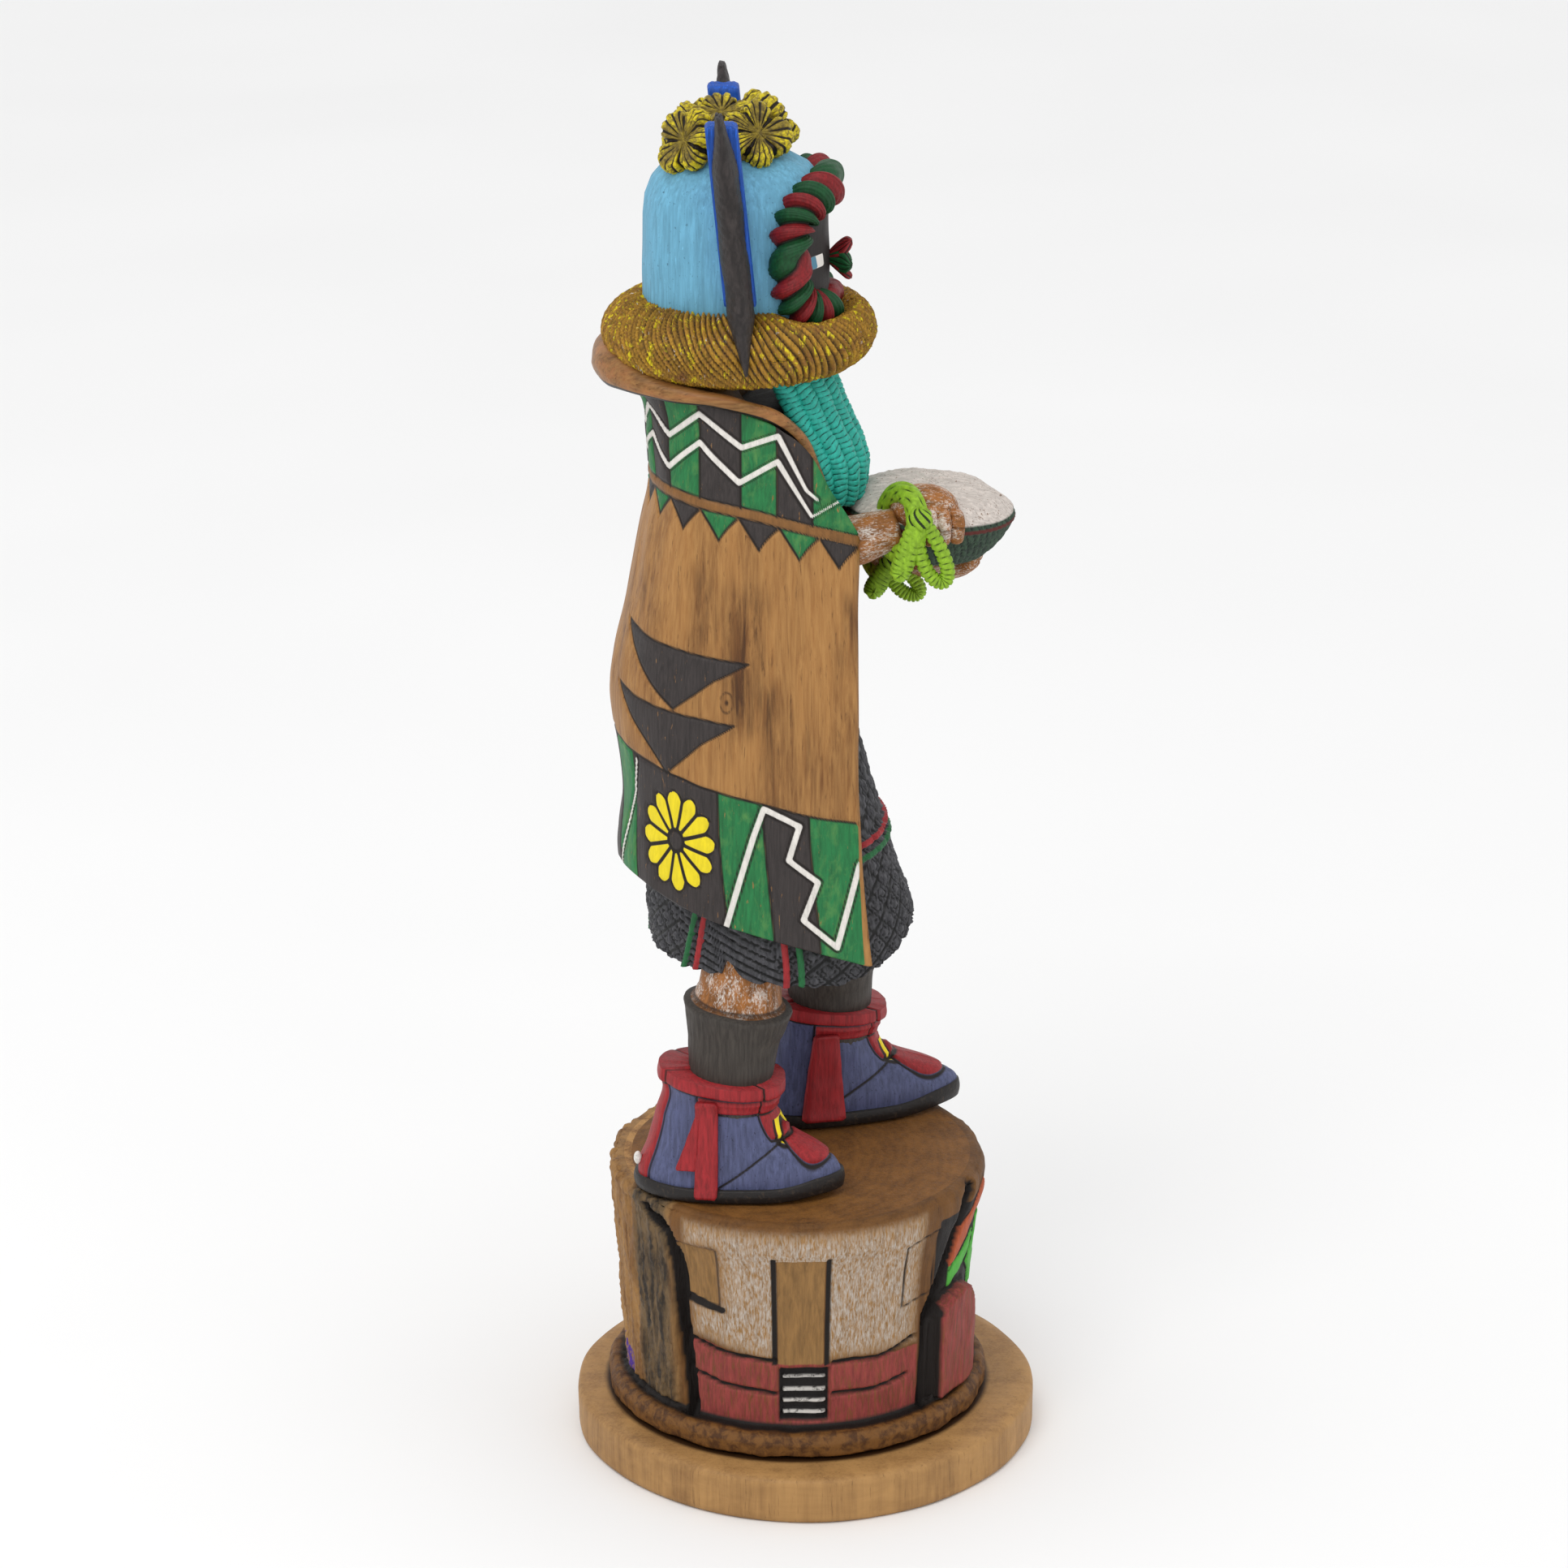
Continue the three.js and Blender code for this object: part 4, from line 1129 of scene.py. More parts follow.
DRESS_TURN = math.radians(20)
DRESS_TWIST = smooth_through((110, 1), (137, 0.5), (165, 0))
DRESS_X = smooth_through((105, -4.8), (118, -5), (135, -8), (165, -13), (235, -14))
DRESS_Y = smooth_through((105, 2), (140, 1), (170, 0))
DRESS_LONG = smooth_through(
    (105, 27.4), (112, 28.6), (119, 29.2), (135, 27.2), (150, 25.6), (165, 24), (200, 22), (235, 15))
DRESS_WIDE = smooth_through((105, 28.6), (120, 28.6), (135, 26.6), (150, 25), (200, 21), (235, 17))
DRESS_HEM = smooth_through(
    (-180, 116.5), (-130, 116), (-105, 115), (-85, 114.1), (-60, 116.4), (-30, 120.6), (0, 122.4),
    (30, 120.6), (60, 116.4), (85, 114.4), (130, 114.6), (180, 116.5))
DRESS_REACH = 27  # the dress's mean radius at the hem, which turns its angles into arcs
CORDS = (  # colour, angle in degrees at a height of 113.5, and how far it leans in degrees per millimetre
    ("green", -158, 1.14), ("red", -151, 1.0), ("red", -108, 0.5), ("green", -101.5, 0.45),
    ("green", 158, -1.14), ("red", 151, -1.0), ("red", 108, -0.5), ("green", 101.5, -0.45),
)
NOTCH = {"angle": -130, "deep": 4.6, "wide": 4.4}
BELT = (("red", 144.2), ("green", 141.6))


def dress_wall(u, v):
    angle = TURN * u
    degrees = np.degrees((angle + math.pi) % TURN - math.pi)
    arc = np.abs(degrees - NOTCH["angle"]) * DRESS_REACH * TURN / 360
    notch = NOTCH["deep"] * np.clip(1 - arc / (NOTCH["wide"] / 2), 0, 1) ** 0.8
    hem = DRESS_HEM(degrees) + notch + 0.25 * np.sin(31 * angle)
    z = mix(hem, 236, v ** 1.5)
    turn = DRESS_TURN * DRESS_TWIST(z)
    a, b = DRESS_LONG(z) * np.cos(angle), DRESS_WIDE(z) * np.sin(angle)
    x = DRESS_X(z) + a * np.cos(turn) - b * np.sin(turn)
    return np.stack([x, DRESS_Y(z) + a * np.sin(turn) + b * np.cos(turn), z])


def dress_plan(u, v):
    """Degrees round the dress from straight ahead, and height."""
    return np.degrees((TURN * u + math.pi) % TURN - math.pi), dress_wall(u, v)[2]


def dress_cords(angle, z):
    """Half the width of a cord less the distance to it, for each colour."""
    half = setting("doll_figure", "cord") / 2
    scale = DRESS_REACH * TURN / 360
    reach = {"red": np.full(z.shape, NOWHERE), "green": np.full(z.shape, NOWHERE)}
    for tint, start, lean in CORDS:
        off = np.abs(angle - start - lean * (z - 113.5)) * scale
        reach[tint] = np.maximum(reach[tint], only(z < 139, half - off))
    for tint, height in BELT:
        slope = 0.03 * angle * (np.abs(angle) < 90)
        reach[tint] = np.maximum(reach[tint], half - np.abs(z - height - slope))
    return reach


def dress_lattice(angle, z):
    """Grooves of the nested lozenges, and the slanting hatch of the plain panel on the side."""
    size = setting("doll_figure", "lattice")
    arc = angle * DRESS_REACH * TURN / 360
    p = (arc * 0.94 + (z - 112) * 0.62) / size
    q = (arc * 0.58 - (z - 112) * 0.9) / size
    p_edge, q_edge = np.abs(p % 1 - 0.5), np.abs(q % 1 - 0.5)
    outer = 0.5 - np.maximum(p_edge, q_edge)
    inner = np.abs(np.maximum(p_edge, q_edge) - 0.25)
    lattice = np.maximum(dab(outer, 0.2, 1), dab(inner, 0.13, 0.9))
    hatch = dab(np.abs(((arc * 0.55 + z) / 2.3) % 1 - 0.5), 0.36, 1.2)
    return np.where((np.abs(angle) > 108) & (np.abs(angle) < 151), hatch, lattice)


def dress_marks(u, v):
    angle, z = dress_plan(u, v)
    reach = dress_cords(angle, z)
    return {**reach, "groove": dress_lattice(angle, z) - 0.42}


def dress_relief(u, v):
    angle, z = dress_plan(u, v)
    cords = dress_cords(angle, z)
    half = setting("doll_figure", "cord") / 2
    cord = np.maximum(cords["red"], cords["green"])
    raised = 0.75 * np.sqrt(np.clip(1 - (1 - np.clip(cord / half, 0, 1)) ** 2, 0, 1))
    twist = 0.1 * np.sin((angle * 0.47 + z) * 4.5)
    plain = -0.75 * dress_lattice(angle, z) + 0.1 * waves(angle * 0.47, z, 9, 31) - 0.1
    on_wall = np.where((v > 0.02) & (z < 200), 1, 0)
    return on_wall * np.where(cord > 0, raised + twist, plain)


def black_dress():
    """Black-painted carving worn grey on its ridges, with red and green cords."""
    def paint_it(tree):
        ridge = streaks(tree, (0.8, 3, 5), 0.4, 0.75, hex_colour("#303033"), hex_colour("#57565B"))
        below = lay(tree, ridge, hex_colour("#0D0D0D"), "groove", 0.3)
        below = lay(tree, below, brushed(tree, paint("red"), 0.5, 3), "red")
        return lay(tree, below, brushed(tree, shade(paint("green"), 0.7), 0.5, 3), "green")
    return material_of("carved_cloth_painted_black", paint_it, [(0.4, 2, 0.08, "Z")], 0.5)


def make_dress():
    dress = skin("dress", capped(dress_wall, 0.02), 320, 120, dress_relief, dress_marks)
    finish(dress, black_dress(), "figure")


# Legs

FEET = (
    {"x": -17, "y": -19.5, "toe": math.radians(-8), "leg": (-14, -16), "reach": 1.0, "name": "right"},
    {"x": 5.2, "y": 21, "toe": math.radians(11), "leg": (4.2, 19.4), "reach": 1.34, "name": "left"},
)
LEG_RADIUS = (
    (84, 9), (92, 9.2), (100, 10), (105, 11.2), (106.6, 11.7), (107.2, 11.5), (107.5, 10.4), (107.8, 9.4),
    (112, 8.8), (118, 7.8), (125, 7))
LEG_LOW = 84
LEG_HIGH = 125
LEGGING_TOP = 107.4


def leg(foot):
    """A bare calf in a ribbed legging whose rim stands out round it."""
    heights = [z for z, _ in LEG_RADIUS]
    radii = [r for _, r in LEG_RADIUS]

    def level(v):
        return mix(LEG_LOW, LEG_HIGH, v)

    def wall(u, v):
        z = level(v)
        r = np.interp(z, heights, radii)
        share = ease((z - LEG_LOW) / 34)
        lean = 0.13 * r * np.cos(TURN * u) * ease((z - 99) / 4) * ease((112 - z) / 3)
        middle = (mix(foot["x"] + 0.4, foot["leg"][0], share), mix(foot["y"], foot["leg"][1], share))
        return ring(middle, r, r, TURN * u, z - lean)

    def relief(u, v):
        z = level(v)
        ribs = -0.2 * (1 - np.abs(np.sin(math.pi * (46 * u + 0.8 * np.sin(TURN * (2 * u + v)))))) ** 2
        return np.where(z < LEGGING_TOP - 1.5, ribs, 0) + 0.12 * waves(u * 60, v * 41, 7, 41) - 0.05

    def marks(u, v):
        above = level(v) - LEGGING_TOP
        return {"legging": 0.1 - above, "shadow": 0.6 - np.abs(above - 0.5)}
    return skin("leg", capped(wall, 0.02), 110, 80, relief, marks)


def legs_and_leggings():
    """Bare wood dusted white above, and a dark grey-brown stained legging below."""
    def paint_it(tree):
        limb = streaks(tree, (1.2, 6, 5), 0.42, 0.6, shade(wood("skin"), 1.1), shade(wood("skin"), 0.6))
        limb = dusted(tree, limb)
        stained = streaks(tree, (0.6, 12, 5), 0.35, 0.7, hex_colour("#302B27"), hex_colour("#48423C"))
        below = lay(tree, limb, stained, "legging")
        return lay(tree, below, wood("burn"), "shadow", 0.5)
    return material_of("stained_leggings_and_dusted_wood", paint_it, [(0.5, 7, 0.1, "Z")], 0.6)


def make_legs():
    finish(join("legs", [leg(foot) for foot in FEET]), legs_and_leggings(), "figure")


# Boots

SOLE_LOW = STUMP_TOP + 0.4
SOLE_THICKNESS = 3
BOOT_TOP = 93
BOOT_AHEAD = smooth_through(
    (0, 24.5), (0.1, 25), (0.2, 24), (0.32, 20.5), (0.46, 14.5), (0.62, 11.6), (0.85, 11.4), (0.88, 12),
    (1, 12.2))
BOOT_BEHIND = smooth_through(
    (0, 19.4), (0.12, 19.6), (0.35, 17.4), (0.6, 15.6), (0.84, 14.3), (0.88, 14.8), (1, 14.5))
BOOT_WIDE = smooth_through(
    (0, 10), (0.12, 10.4), (0.3, 9.8), (0.6, 9.6), (0.84, 10.3), (0.88, 10.9), (1, 11.2))
BOOT_ANKLE = 11.4
CUFF = 89.8  # the cuff's lower edge, level round the boot
WRAP = 86.2  # the lower edge of the band that wraps its front half


def toe_curl(c):
    """How far the toe turns up off the ground."""
    return 2.4 * ease((c - 0.45) / 0.55)


def boot_length(c, t, foot):
    ahead = BOOT_ANKLE + (BOOT_AHEAD(t) - BOOT_ANKLE) * foot["reach"]
    return np.where(c > 0, mix(BOOT_BEHIND(t), ahead, ease(c * 3)), BOOT_BEHIND(t))


def set_foot(foot, x, y, z):
    """Turns a place on a foot's own axes into the figure's."""
    c, s = math.cos(foot["toe"]), math.sin(foot["toe"])
    return np.stack([foot["x"] + x * c - y * s, foot["y"] + x * s + y * c, z])


def boot_shape(foot, u, t):
    """A boot on its own axes: ahead, to the left, and up."""
    c, s = np.cos(TURN * u), np.sin(TURN * u)
    slope = 1.6 * c * ease(t * 1.4 - 0.4)
    return (boot_length(c, t, foot) * c, BOOT_WIDE(t) * s * (1 - 0.16 * c * (1 - t)),
            mix(SOLE_LOW + 1, BOOT_TOP, t) - slope + toe_curl(c) * (1 - t) ** 3)


def boot_design(foot, u, t):
    """Where the boot is red, yellow or burnt, and which bands stand out, seen from its side."""
    x, y, _ = boot_shape(foot, u, t)
    ahead = np.where(x > 0, (x - BOOT_ANKLE) / foot["reach"] + BOOT_ANKLE, x)
    level = mix(SOLE_LOW + 1, BOOT_TOP, t)
    turned = np.degrees(np.abs((TURN * u + math.pi) % TURN - math.pi))
    cuff = level - CUFF
    wrap = np.minimum(np.minimum(level - WRAP, CUFF - 0.5 - level), np.minimum(ahead + 5, 12.2 - ahead))
    heel_strip = (turned - 150) * 0.22
    tongue = np.minimum((40 - turned) * 0.2, level - 79.5)
    flap = (1 - np.hypot((ahead - 17.2) / 5.2, y / 5.4)) * 5.2
    buckle = np.minimum((1 - np.hypot((ahead - 12.6) / 2.6, y / 4.8)) * 3, -flap - 0.5)
    low = level < 84
    vamp = distance_to_line(ahead, level, [(13.4, 79.6), (9, 76.2), (-0.5, 69)])
    return {"cuff": cuff, "wrap": wrap, "strip": heel_strip, "tongue": tongue, "vamp": vamp,
            "flap": only(low, flap), "yellow": only(low, buckle)}


BOOT_RED = {"cuff": 0.35, "wrap": 0.5, "tongue": 0.4, "strip": 0.3, "flap": 0.5}  # how far each stands out


def boot_upper(foot):
    def wall(u, v):
        return set_foot(foot, *boot_shape(foot, u, v))

    def squeezed(v):
        return np.clip((v - 0.02) / 0.96, 0, 1)

    def relief(u, v):
        design = boot_design(foot, u, squeezed(v))
        high = dab(design["vamp"], 0.9, -0.4) + 0.2 * ease(design["yellow"] / 0.4)
        for name, out in BOOT_RED.items():
            high = high + out * ease(design[name] / 0.5) + dab(design[name] + 0.3, 0.7, -0.35)
        return high - 0.4 + 0.12 * waves(u * 80, v * 27, 6, 51)

    def marks(u, v):
        design = boot_design(foot, u, squeezed(v))
        edges = [0.4 - np.abs(design[name] + 0.3) for name in (*BOOT_RED, "yellow")]
        red = np.max([design[name] for name in BOOT_RED], axis=0)
        burn = np.max([*edges, 0.4 - design["vamp"]], axis=0)
        return {"red": red, "yellow": design["yellow"], "burn": burn}
    return skin("boot_upper", capped(wall, 0.02), 200, 92, relief, marks)


def boot_sole(foot):
    def wall(u, v):
        c, s = np.cos(TURN * u), np.sin(TURN * u)
        bulge = 0.35 * np.sin(math.pi * v)
        return set_foot(
            foot, (boot_length(c, 0 * v, foot) + 0.7 + bulge) * c,
            (BOOT_WIDE(0) + 0.6 + bulge) * s * (1 - 0.16 * c),
            SOLE_LOW + toe_curl(c) * mix(0.6, 1, v) + SOLE_THICKNESS * v)
    return skin("boot_sole", capped(wall, 0.18), 120, 20)


def boot_tab(foot, side, top, bottom, wide):
    """A strap that hangs from the band, standing clear of the boot's side."""
    (top_x, top_z), (bottom_x, bottom_z) = top, bottom

    def wall(u, v):
        z = mix(bottom_z, top_z, v)
        x = mix(bottom_x, top_x, v)
        t = np.clip((z - SOLE_LOW - 1) / (BOOT_TOP - SOLE_LOW - 1), 0, 1)
        out = BOOT_WIDE(t) + 0.55 + 1.1 * ease((71 - z) / 4)
        half = mix(wide[1], wide[0], v) / 2
        c, s = np.cos(TURN * u), np.sin(TURN * u)
        square = np.maximum(np.abs(c), np.abs(s)) ** 0.9
        return set_foot(foot, x + half * c / square, side * (out + 0.75 * s / square), z)

    def relief(u, v):
        return 0.08 * waves(u * 12, v * 24, 5, 61)
    return skin("boot_tab", capped(wall, 0.04), 24, 30, relief, lambda u, v: {"red": 1.0 + 0 * u})


def painted_boot():
    """Purple-blue paint flecked with black, red bands and burnt outlines, all over the wood's grain."""
    def paint_it(tree):
        blue = streaks(tree, (0.7, 8, 5), 0.35, 0.7, paint("boot"), shade(paint("boot"), 0.5))
        flecked = streaks(tree, (0.45, 0.6, 4), 0.62, 0.7, blue, shade(paint("boot"), 0.2))
        red = streaks(tree, (0.6, 6, 5), 0.35, 0.7, paint("red"), shade(paint("red"), 0.5))
        below = lay(tree, flecked, red, "red")
        below = lay(tree, below, paint("yellow"), "yellow")
        return lay(tree, below, wood("burn"), "burn", 0.25)
    return material_of("carved_boot_painted", paint_it, [(0.45, 5, 0.1, "Z")], 0.5)


def sole_black():
    """Thick black paint, a little shiny, scuffed brown along the edge."""
    def paint_it(tree):
        return streaks(tree, (1, 1.5, 5), 0.55, 0.8, shade(paint("black"), 0.55), hex_colour("#45382C"))
    return material_of("sole_painted_black", paint_it, [(0.8, 0.8, 0.12, "Z")], 0.42)


def make_boots():
    for foot in FEET:
        side = RIGHT if foot["y"] < 0 else LEFT
        parts = [boot_upper(foot)]
        parts.append(boot_tab(foot, side, (-2.9, 89.6), (-3, 67.4), (4.8, 5)))
        parts.append(boot_tab(foot, side, (-4.9, 86), (-7.4, 73.4), (0.8, 4.6)))
        parts.append(boot_tab(foot, -side, (-2.6, 88), (-3.4, 68), (5.6, 10)))
        name = "boot_" + foot["name"]
        finish(join(name, parts), painted_boot(), "figure")
        finish(boot_sole(foot), sole_black(), "figure").name = name + "_sole"
        heel_bead(foot, name, side)


def heel_bead(foot, name, side):
    """The white bead at the back of the heel."""
    def place(u, v):
        r = 0.9 * np.sin(math.pi * v)
        return set_foot(foot, -19.2 + r * np.cos(TURN * u), side * 2.4 + r * np.sin(TURN * u),
                        72 - 1.5 * np.cos(math.pi * v))
    finish(skin(name + "_bead", place, 20, 12), white_paint(), "figure")


def white_paint():
    """Thick white paint with grey dust in it."""
    def paint_it(tree):
        return streaks(tree, (0.6, 0.6, 4), 0.4, 0.7, paint("white"), shade(paint("white"), 0.6))
    return material_of("white_painted_bead", paint_it, [(0.5, 0.5, 0.05, "Z")], 0.4)


# Necklaces

STRANDS = {"count": 9, "spread": math.radians(84), "wide": 15.6, "deep": 9.6, "radius": 2.35}
STRAND_FRONT = ((1.5, 248), (6.6, 235), (11, 223), (10.4, 214.6))  # x and z of the middle string


def strand(turned):
    """A string of turquoise cut into short beads, hung a given angle round the chest."""
    back = STRANDS["deep"] * (1 - math.cos(turned))
    across = STRANDS["wide"] * math.sin(turned)
    line = path(*[(x - back * (1 - 0.06 * k), across * (1 - 0.07 * k), z + (k == 3) * 0.25 * back)
                  for k, (x, z) in enumerate(STRAND_FRONT)])
    beads = 34 / setting("doll_figure", "bead")

    def thick(t):
        return STRANDS["radius"] - 0.4 * ease(t * 3 - 2)

    def cut(u, v):
        along = v * beads + 0.25 * np.sin(TURN * (u * 2 + v * 3) + 9 * turned)
        return 1 - to_seam(along)

    def relief(u, v):
        return -0.35 * ease(1 - cut(u, v) / 0.4) - 0.08 + 0.1 * np.sin(TURN * u * 5 + v * 40)

    def marks(u, v):
        return {"gap": 0.24 - cut(u, v)}
    return skin("strand", sweep(line, thick, up=(0, 1, 0)), 20, 160, relief, marks)


def turquoise():
    """Turquoise paint over cut beads, dark in the cuts and in fine cracks."""
    def paint_it(tree):
        below = brushed(tree, paint("turquoise"), 1, 2, dark=0.6)
        below = streaks(tree, (0.8, 0.8, 5), 0.66, 0.72, below, shade(paint("turquoise"), 0.15))
        return lay(tree, below, hex_colour("#0D3030"), "gap", 0.16)
    return material_of("turquoise_painted_beads", paint_it, [(0.5, 0.5, 0.08, "Z")], 0.5)


def make_necklaces():
    angles = np.linspace(-STRANDS["spread"], STRANDS["spread"], STRANDS["count"])
    finish(join("necklaces", [strand(float(angle)) for angle in angles]), turquoise(), "figure")


# Arms, hands and the yarn at the wrists


def forearm(points, wrist):
    line = path(*points)
    elbow = setting("doll_figure", "arm")

    def relief(u, v):
        return 0.15 * waves(u * 36, v * 24, 7, 71) - 0.1
    return skin("forearm", sweep(line, lambda t: mix(elbow, wrist, t), blunt=0.04), 44, 40, relief)


def finger(points):
    line = path(*points)
    radius = setting("doll_figure", "finger")
    return skin("finger", sweep(line, lambda t: radius + 0 * t, blunt=0.14), 14, 22)


def palm(at, sizes, tilt):
    """A hand's back as a flat oval, tilted about the axis across the figure."""
    def place(u, v):
        x = sizes[0] * np.cos(math.pi * v)
        r = np.sin(math.pi * v)
        y, z = sizes[1] * r * np.cos(TURN * u), sizes[2] * r * np.sin(TURN * u)
        c, s = math.cos(tilt), math.sin(tilt)
        return np.stack([at[0] + x * c + z * s, at[1] + y, at[2] - x * s + z * c])
    return skin("palm", place, 36, 24)


def dusted_wood():
    """Tan wood of the arms, dusted with white where the meal has rubbed off."""
    def paint_it(tree):
        limb = streaks(tree, (1.2, 5, 5, "X"), 0.4, 0.62, shade(wood("skin"), 1.15), shade(wood("skin"), 0.6))
        return dusted(tree, limb, "X")
    return material_of("bare_wood_dusted_white", paint_it, [(0.5, 4, 0.1, "X")], 0.6)


def make_arms():
    near, far = (setting("doll_figure", name) for name in ("near_wrist", "far_wrist"))
    parts = [
        forearm([(-1, -14, 206.5), (10, -15.8, 210.3), (19.5, -15.5, 213)], near),
        forearm([(-2, 17, 209), (9, 15.6, 205.5), (20, 9.5, 199.6)], far),
        palm((24.3, -13.4, 216.2), (7.2, 5.6, 5.4), 0.05),
        palm((27.2, 4, 200.2), (8.6, 8, 4), 0.12),
    ]
    for i in range(3):
        x = 25 + 2.8 * i
        y = -19.6 + 0.5 * i * i
        parts.append(finger([(x, y + 2.6, 218 - i), (x + 0.4, y, 214.6), (x, y + 0.6, 210)]))
        y = -4.4 * i
        parts.append(finger([(28, 8.4 + y, 199.6), (33, 6 + y, 200.4), (37.6 - i, 3.4 - 4.2 * i, 203.2)]))
    finish(join("arms", parts), dusted_wood(), "figure")


YARNS = (
    {"wrist": (19.4, -16.8, 214.4), "across": (3.6, -6.4, 2.6), "down": 1.0, "name": "yarn_right"},
    {"wrist": (16.6, 12, 201), "across": (1.5, -5.4, -2.4), "down": 0.55, "name": "yarn_left"},
)


def yarn_skin(line, radius, turns, rows, ridges=1):
    """A loop of twisted yarn, cut in fine grooves that slant across it, or run along it with many ridges."""
    def cut(u, v):
        return 1 - to_seam(v * turns + u * ridges)

    def relief(u, v):
        return -0.5 * ease(1 - cut(u, v) / 0.4) - 0.05

    def marks(u, v):
        return {"gap": 0.28 - cut(u, v)}
    shape = sweep(line, lambda t: radius + 0 * t, up=(0.02, 1, 0.05), closed=True)
    return skin("yarn_loop", shape, 22, rows, relief, marks)


def yarn(wrist, across, down, name):
    """Yarn tied round a wrist, with two loops hanging from the knot."""
    thick = setting("doll_figure", "yarn")
    wx, wy, wz = wrist

    def band(t):
        c, s = np.cos(TURN * t), np.sin(TURN * t)
        return np.stack([wx + 1 * s - 3 * c, wy + 6.2 * c, wz + 6.2 * s])

    def loop(way, wide, long):
        def line(t):
            c, s = np.cos(TURN * t), np.sin(TURN * t)
            drop = -long * (1 - c) / 2
            return np.stack([
                wx + across[0] - way * drop * 0.34 + wide * s * (1 - 0.35 * c), wy + across[1] + 0 * t,
                wz + across[2] + drop * down])
        return line

    def knot(u, v):
        r = 2.9 * np.sin(math.pi * v)
        return np.stack([wx + across[0] + r * np.cos(TURN * u), wy + across[1] + r * np.sin(TURN * u),
                         wz + across[2] - 2.9 * np.cos(math.pi * v)])
    parts = [
        skin("knot", knot, 40, 26, lambda u, v: 0.25 * np.sin(TURN * (u * 7 + v * 3)) - 0.3,
             lambda u, v: {"gap": -0.3 - np.sin(TURN * (u * 7 + v * 3))}),
        yarn_skin(loop(-1, 0.4, 11.5), thick * 0.84, 26, 100),
        yarn_skin(loop(1, 2.25, 13.5), thick * 0.64, 30, 120),
        yarn_skin(band, thick * 0.96, 4, 110, ridges=6),
    ]
    return join(name, parts)


def dyed_yarn():
    """Lime-green paint on carved yarn, with dark cuts across it."""
    def paint_it(tree):
        below = brushed(tree, paint("lime"), 0.9, 1.4, dark=0.5)
        return lay(tree, below, hex_colour("#1D2B0D"), "gap", 0.2)
    return material_of("carved_yarn_painted_lime", paint_it, [(0.4, 0.6, 0.1, "Z")], 0.55)


def make_yarns():
    for one in YARNS:
        finish(yarn(**one), dyed_yarn(), "figure")


# The basket of meal

BOWL = {"x": 25.5, "radius": 18, "rim": 213.4, "depth": 11, "heap": 5.4, "tilt": 0.06}
BOWL_ROWS = (  # share of the radius, and height as a share of the depth below the rim or the heap above it
    (0, -1), (0.3, -1), (0.62, -0.93), (0.84, -0.62), (0.97, -0.28), (1.02, -0.06), (1, 0.02), (0.96, 0.14),
    (0.78, 0.62), (0.45, 0.92), (0.12, 1), (0, 1))


def bowl_place(u, v):
    wide = np.array([w for w, _ in BOWL_ROWS]) * BOWL["radius"]
    high = np.array([h * (BOWL["heap"] if i > 6 else BOWL["depth"]) for i, (_, h) in enumerate(BOWL_ROWS)])
    along = np.concatenate([[0], np.cumsum(np.hypot(np.diff(wide), np.diff(high)))])
    along /= along[-1]
    r = smooth_through(*zip(along, wide))(v)
    z = smooth_through(*zip(along, high))(v)
    x, y = r * np.cos(TURN * u), r * np.sin(TURN * u)
    return np.stack([BOWL["x"] + x + BOWL["tilt"] * z, y, BOWL["rim"] + z - BOWL["tilt"] * x])


def bowl_height(u, v):
    """Height over the rim, before the bowl's tilt."""
    place = bowl_place(u, v)
    return place[2] - BOWL["rim"] + BOWL["tilt"] * (place[0] - BOWL["x"])


def bowl_marks(u, v):
    high = bowl_height(u, v)
    rib = np.abs(np.sin(math.pi * (u * 64 + high * 0.28)))
    return {"meal": high - 0.1, "band": 0.6 - np.abs(high + 1.1), "gap": 0.5 - rib}


def bowl_relief(u, v):
    """Coils with short slanting ribs on the bowl, and loose heaped grains on the meal."""
    high = bowl_height(u, v)
    coil = 0.28 * (np.abs(np.sin(math.pi * high / 2.1)) ** 0.6 - 1)
    rib = 0.45 * (np.abs(np.sin(math.pi * (u * 64 + high * 0.28))) ** 0.6 - 1)
    grains = 0.1 * waves(bowl_place(u, v)[0], bowl_place(u, v)[1], 1.6, 81) - 0.1
    return np.where(high > 0.1, grains + 0.25 * waves(u * 90, v * 60, 9, 82), coil + rib)


def basket_and_meal():
    """A dark green-black coiled bowl with a red line under its rim, heaped with pale speckled meal."""
    def paint_it(tree):
        side = streaks(tree, (0.8, 1.5, 4), 0.4, 0.7, hex_colour("#27352C"), hex_colour("#425945"))
        side = lay(tree, side, hex_colour("#161816"), "gap", 0.3)
        side = lay(tree, side, hex_colour("#592722"), "band", 0.3)
        meal = streaks(tree, (0.7, 3.5, 6, "X"), 0.35, 0.6, paint("meal"), shade(paint("meal"), 0.72))
        meal = streaks(tree, (0.5, 0.5, 4), 0.6, 0.66, meal, hex_colour("#6F523C"))
        return lay(tree, side, meal, "meal", 0.35)
    return material_of("coiled_bowl_of_meal", paint_it, [(0.5, 0.5, 0.12, "Z")], 0.75)


def make_basket():
    bowl = skin("bowl_of_meal", bowl_place, 240, 80, bowl_relief, bowl_marks)
    finish(bowl, basket_and_meal(), "meal_basket")


# The pueblo stump. Its design is laid out in degrees round from straight ahead, and height.

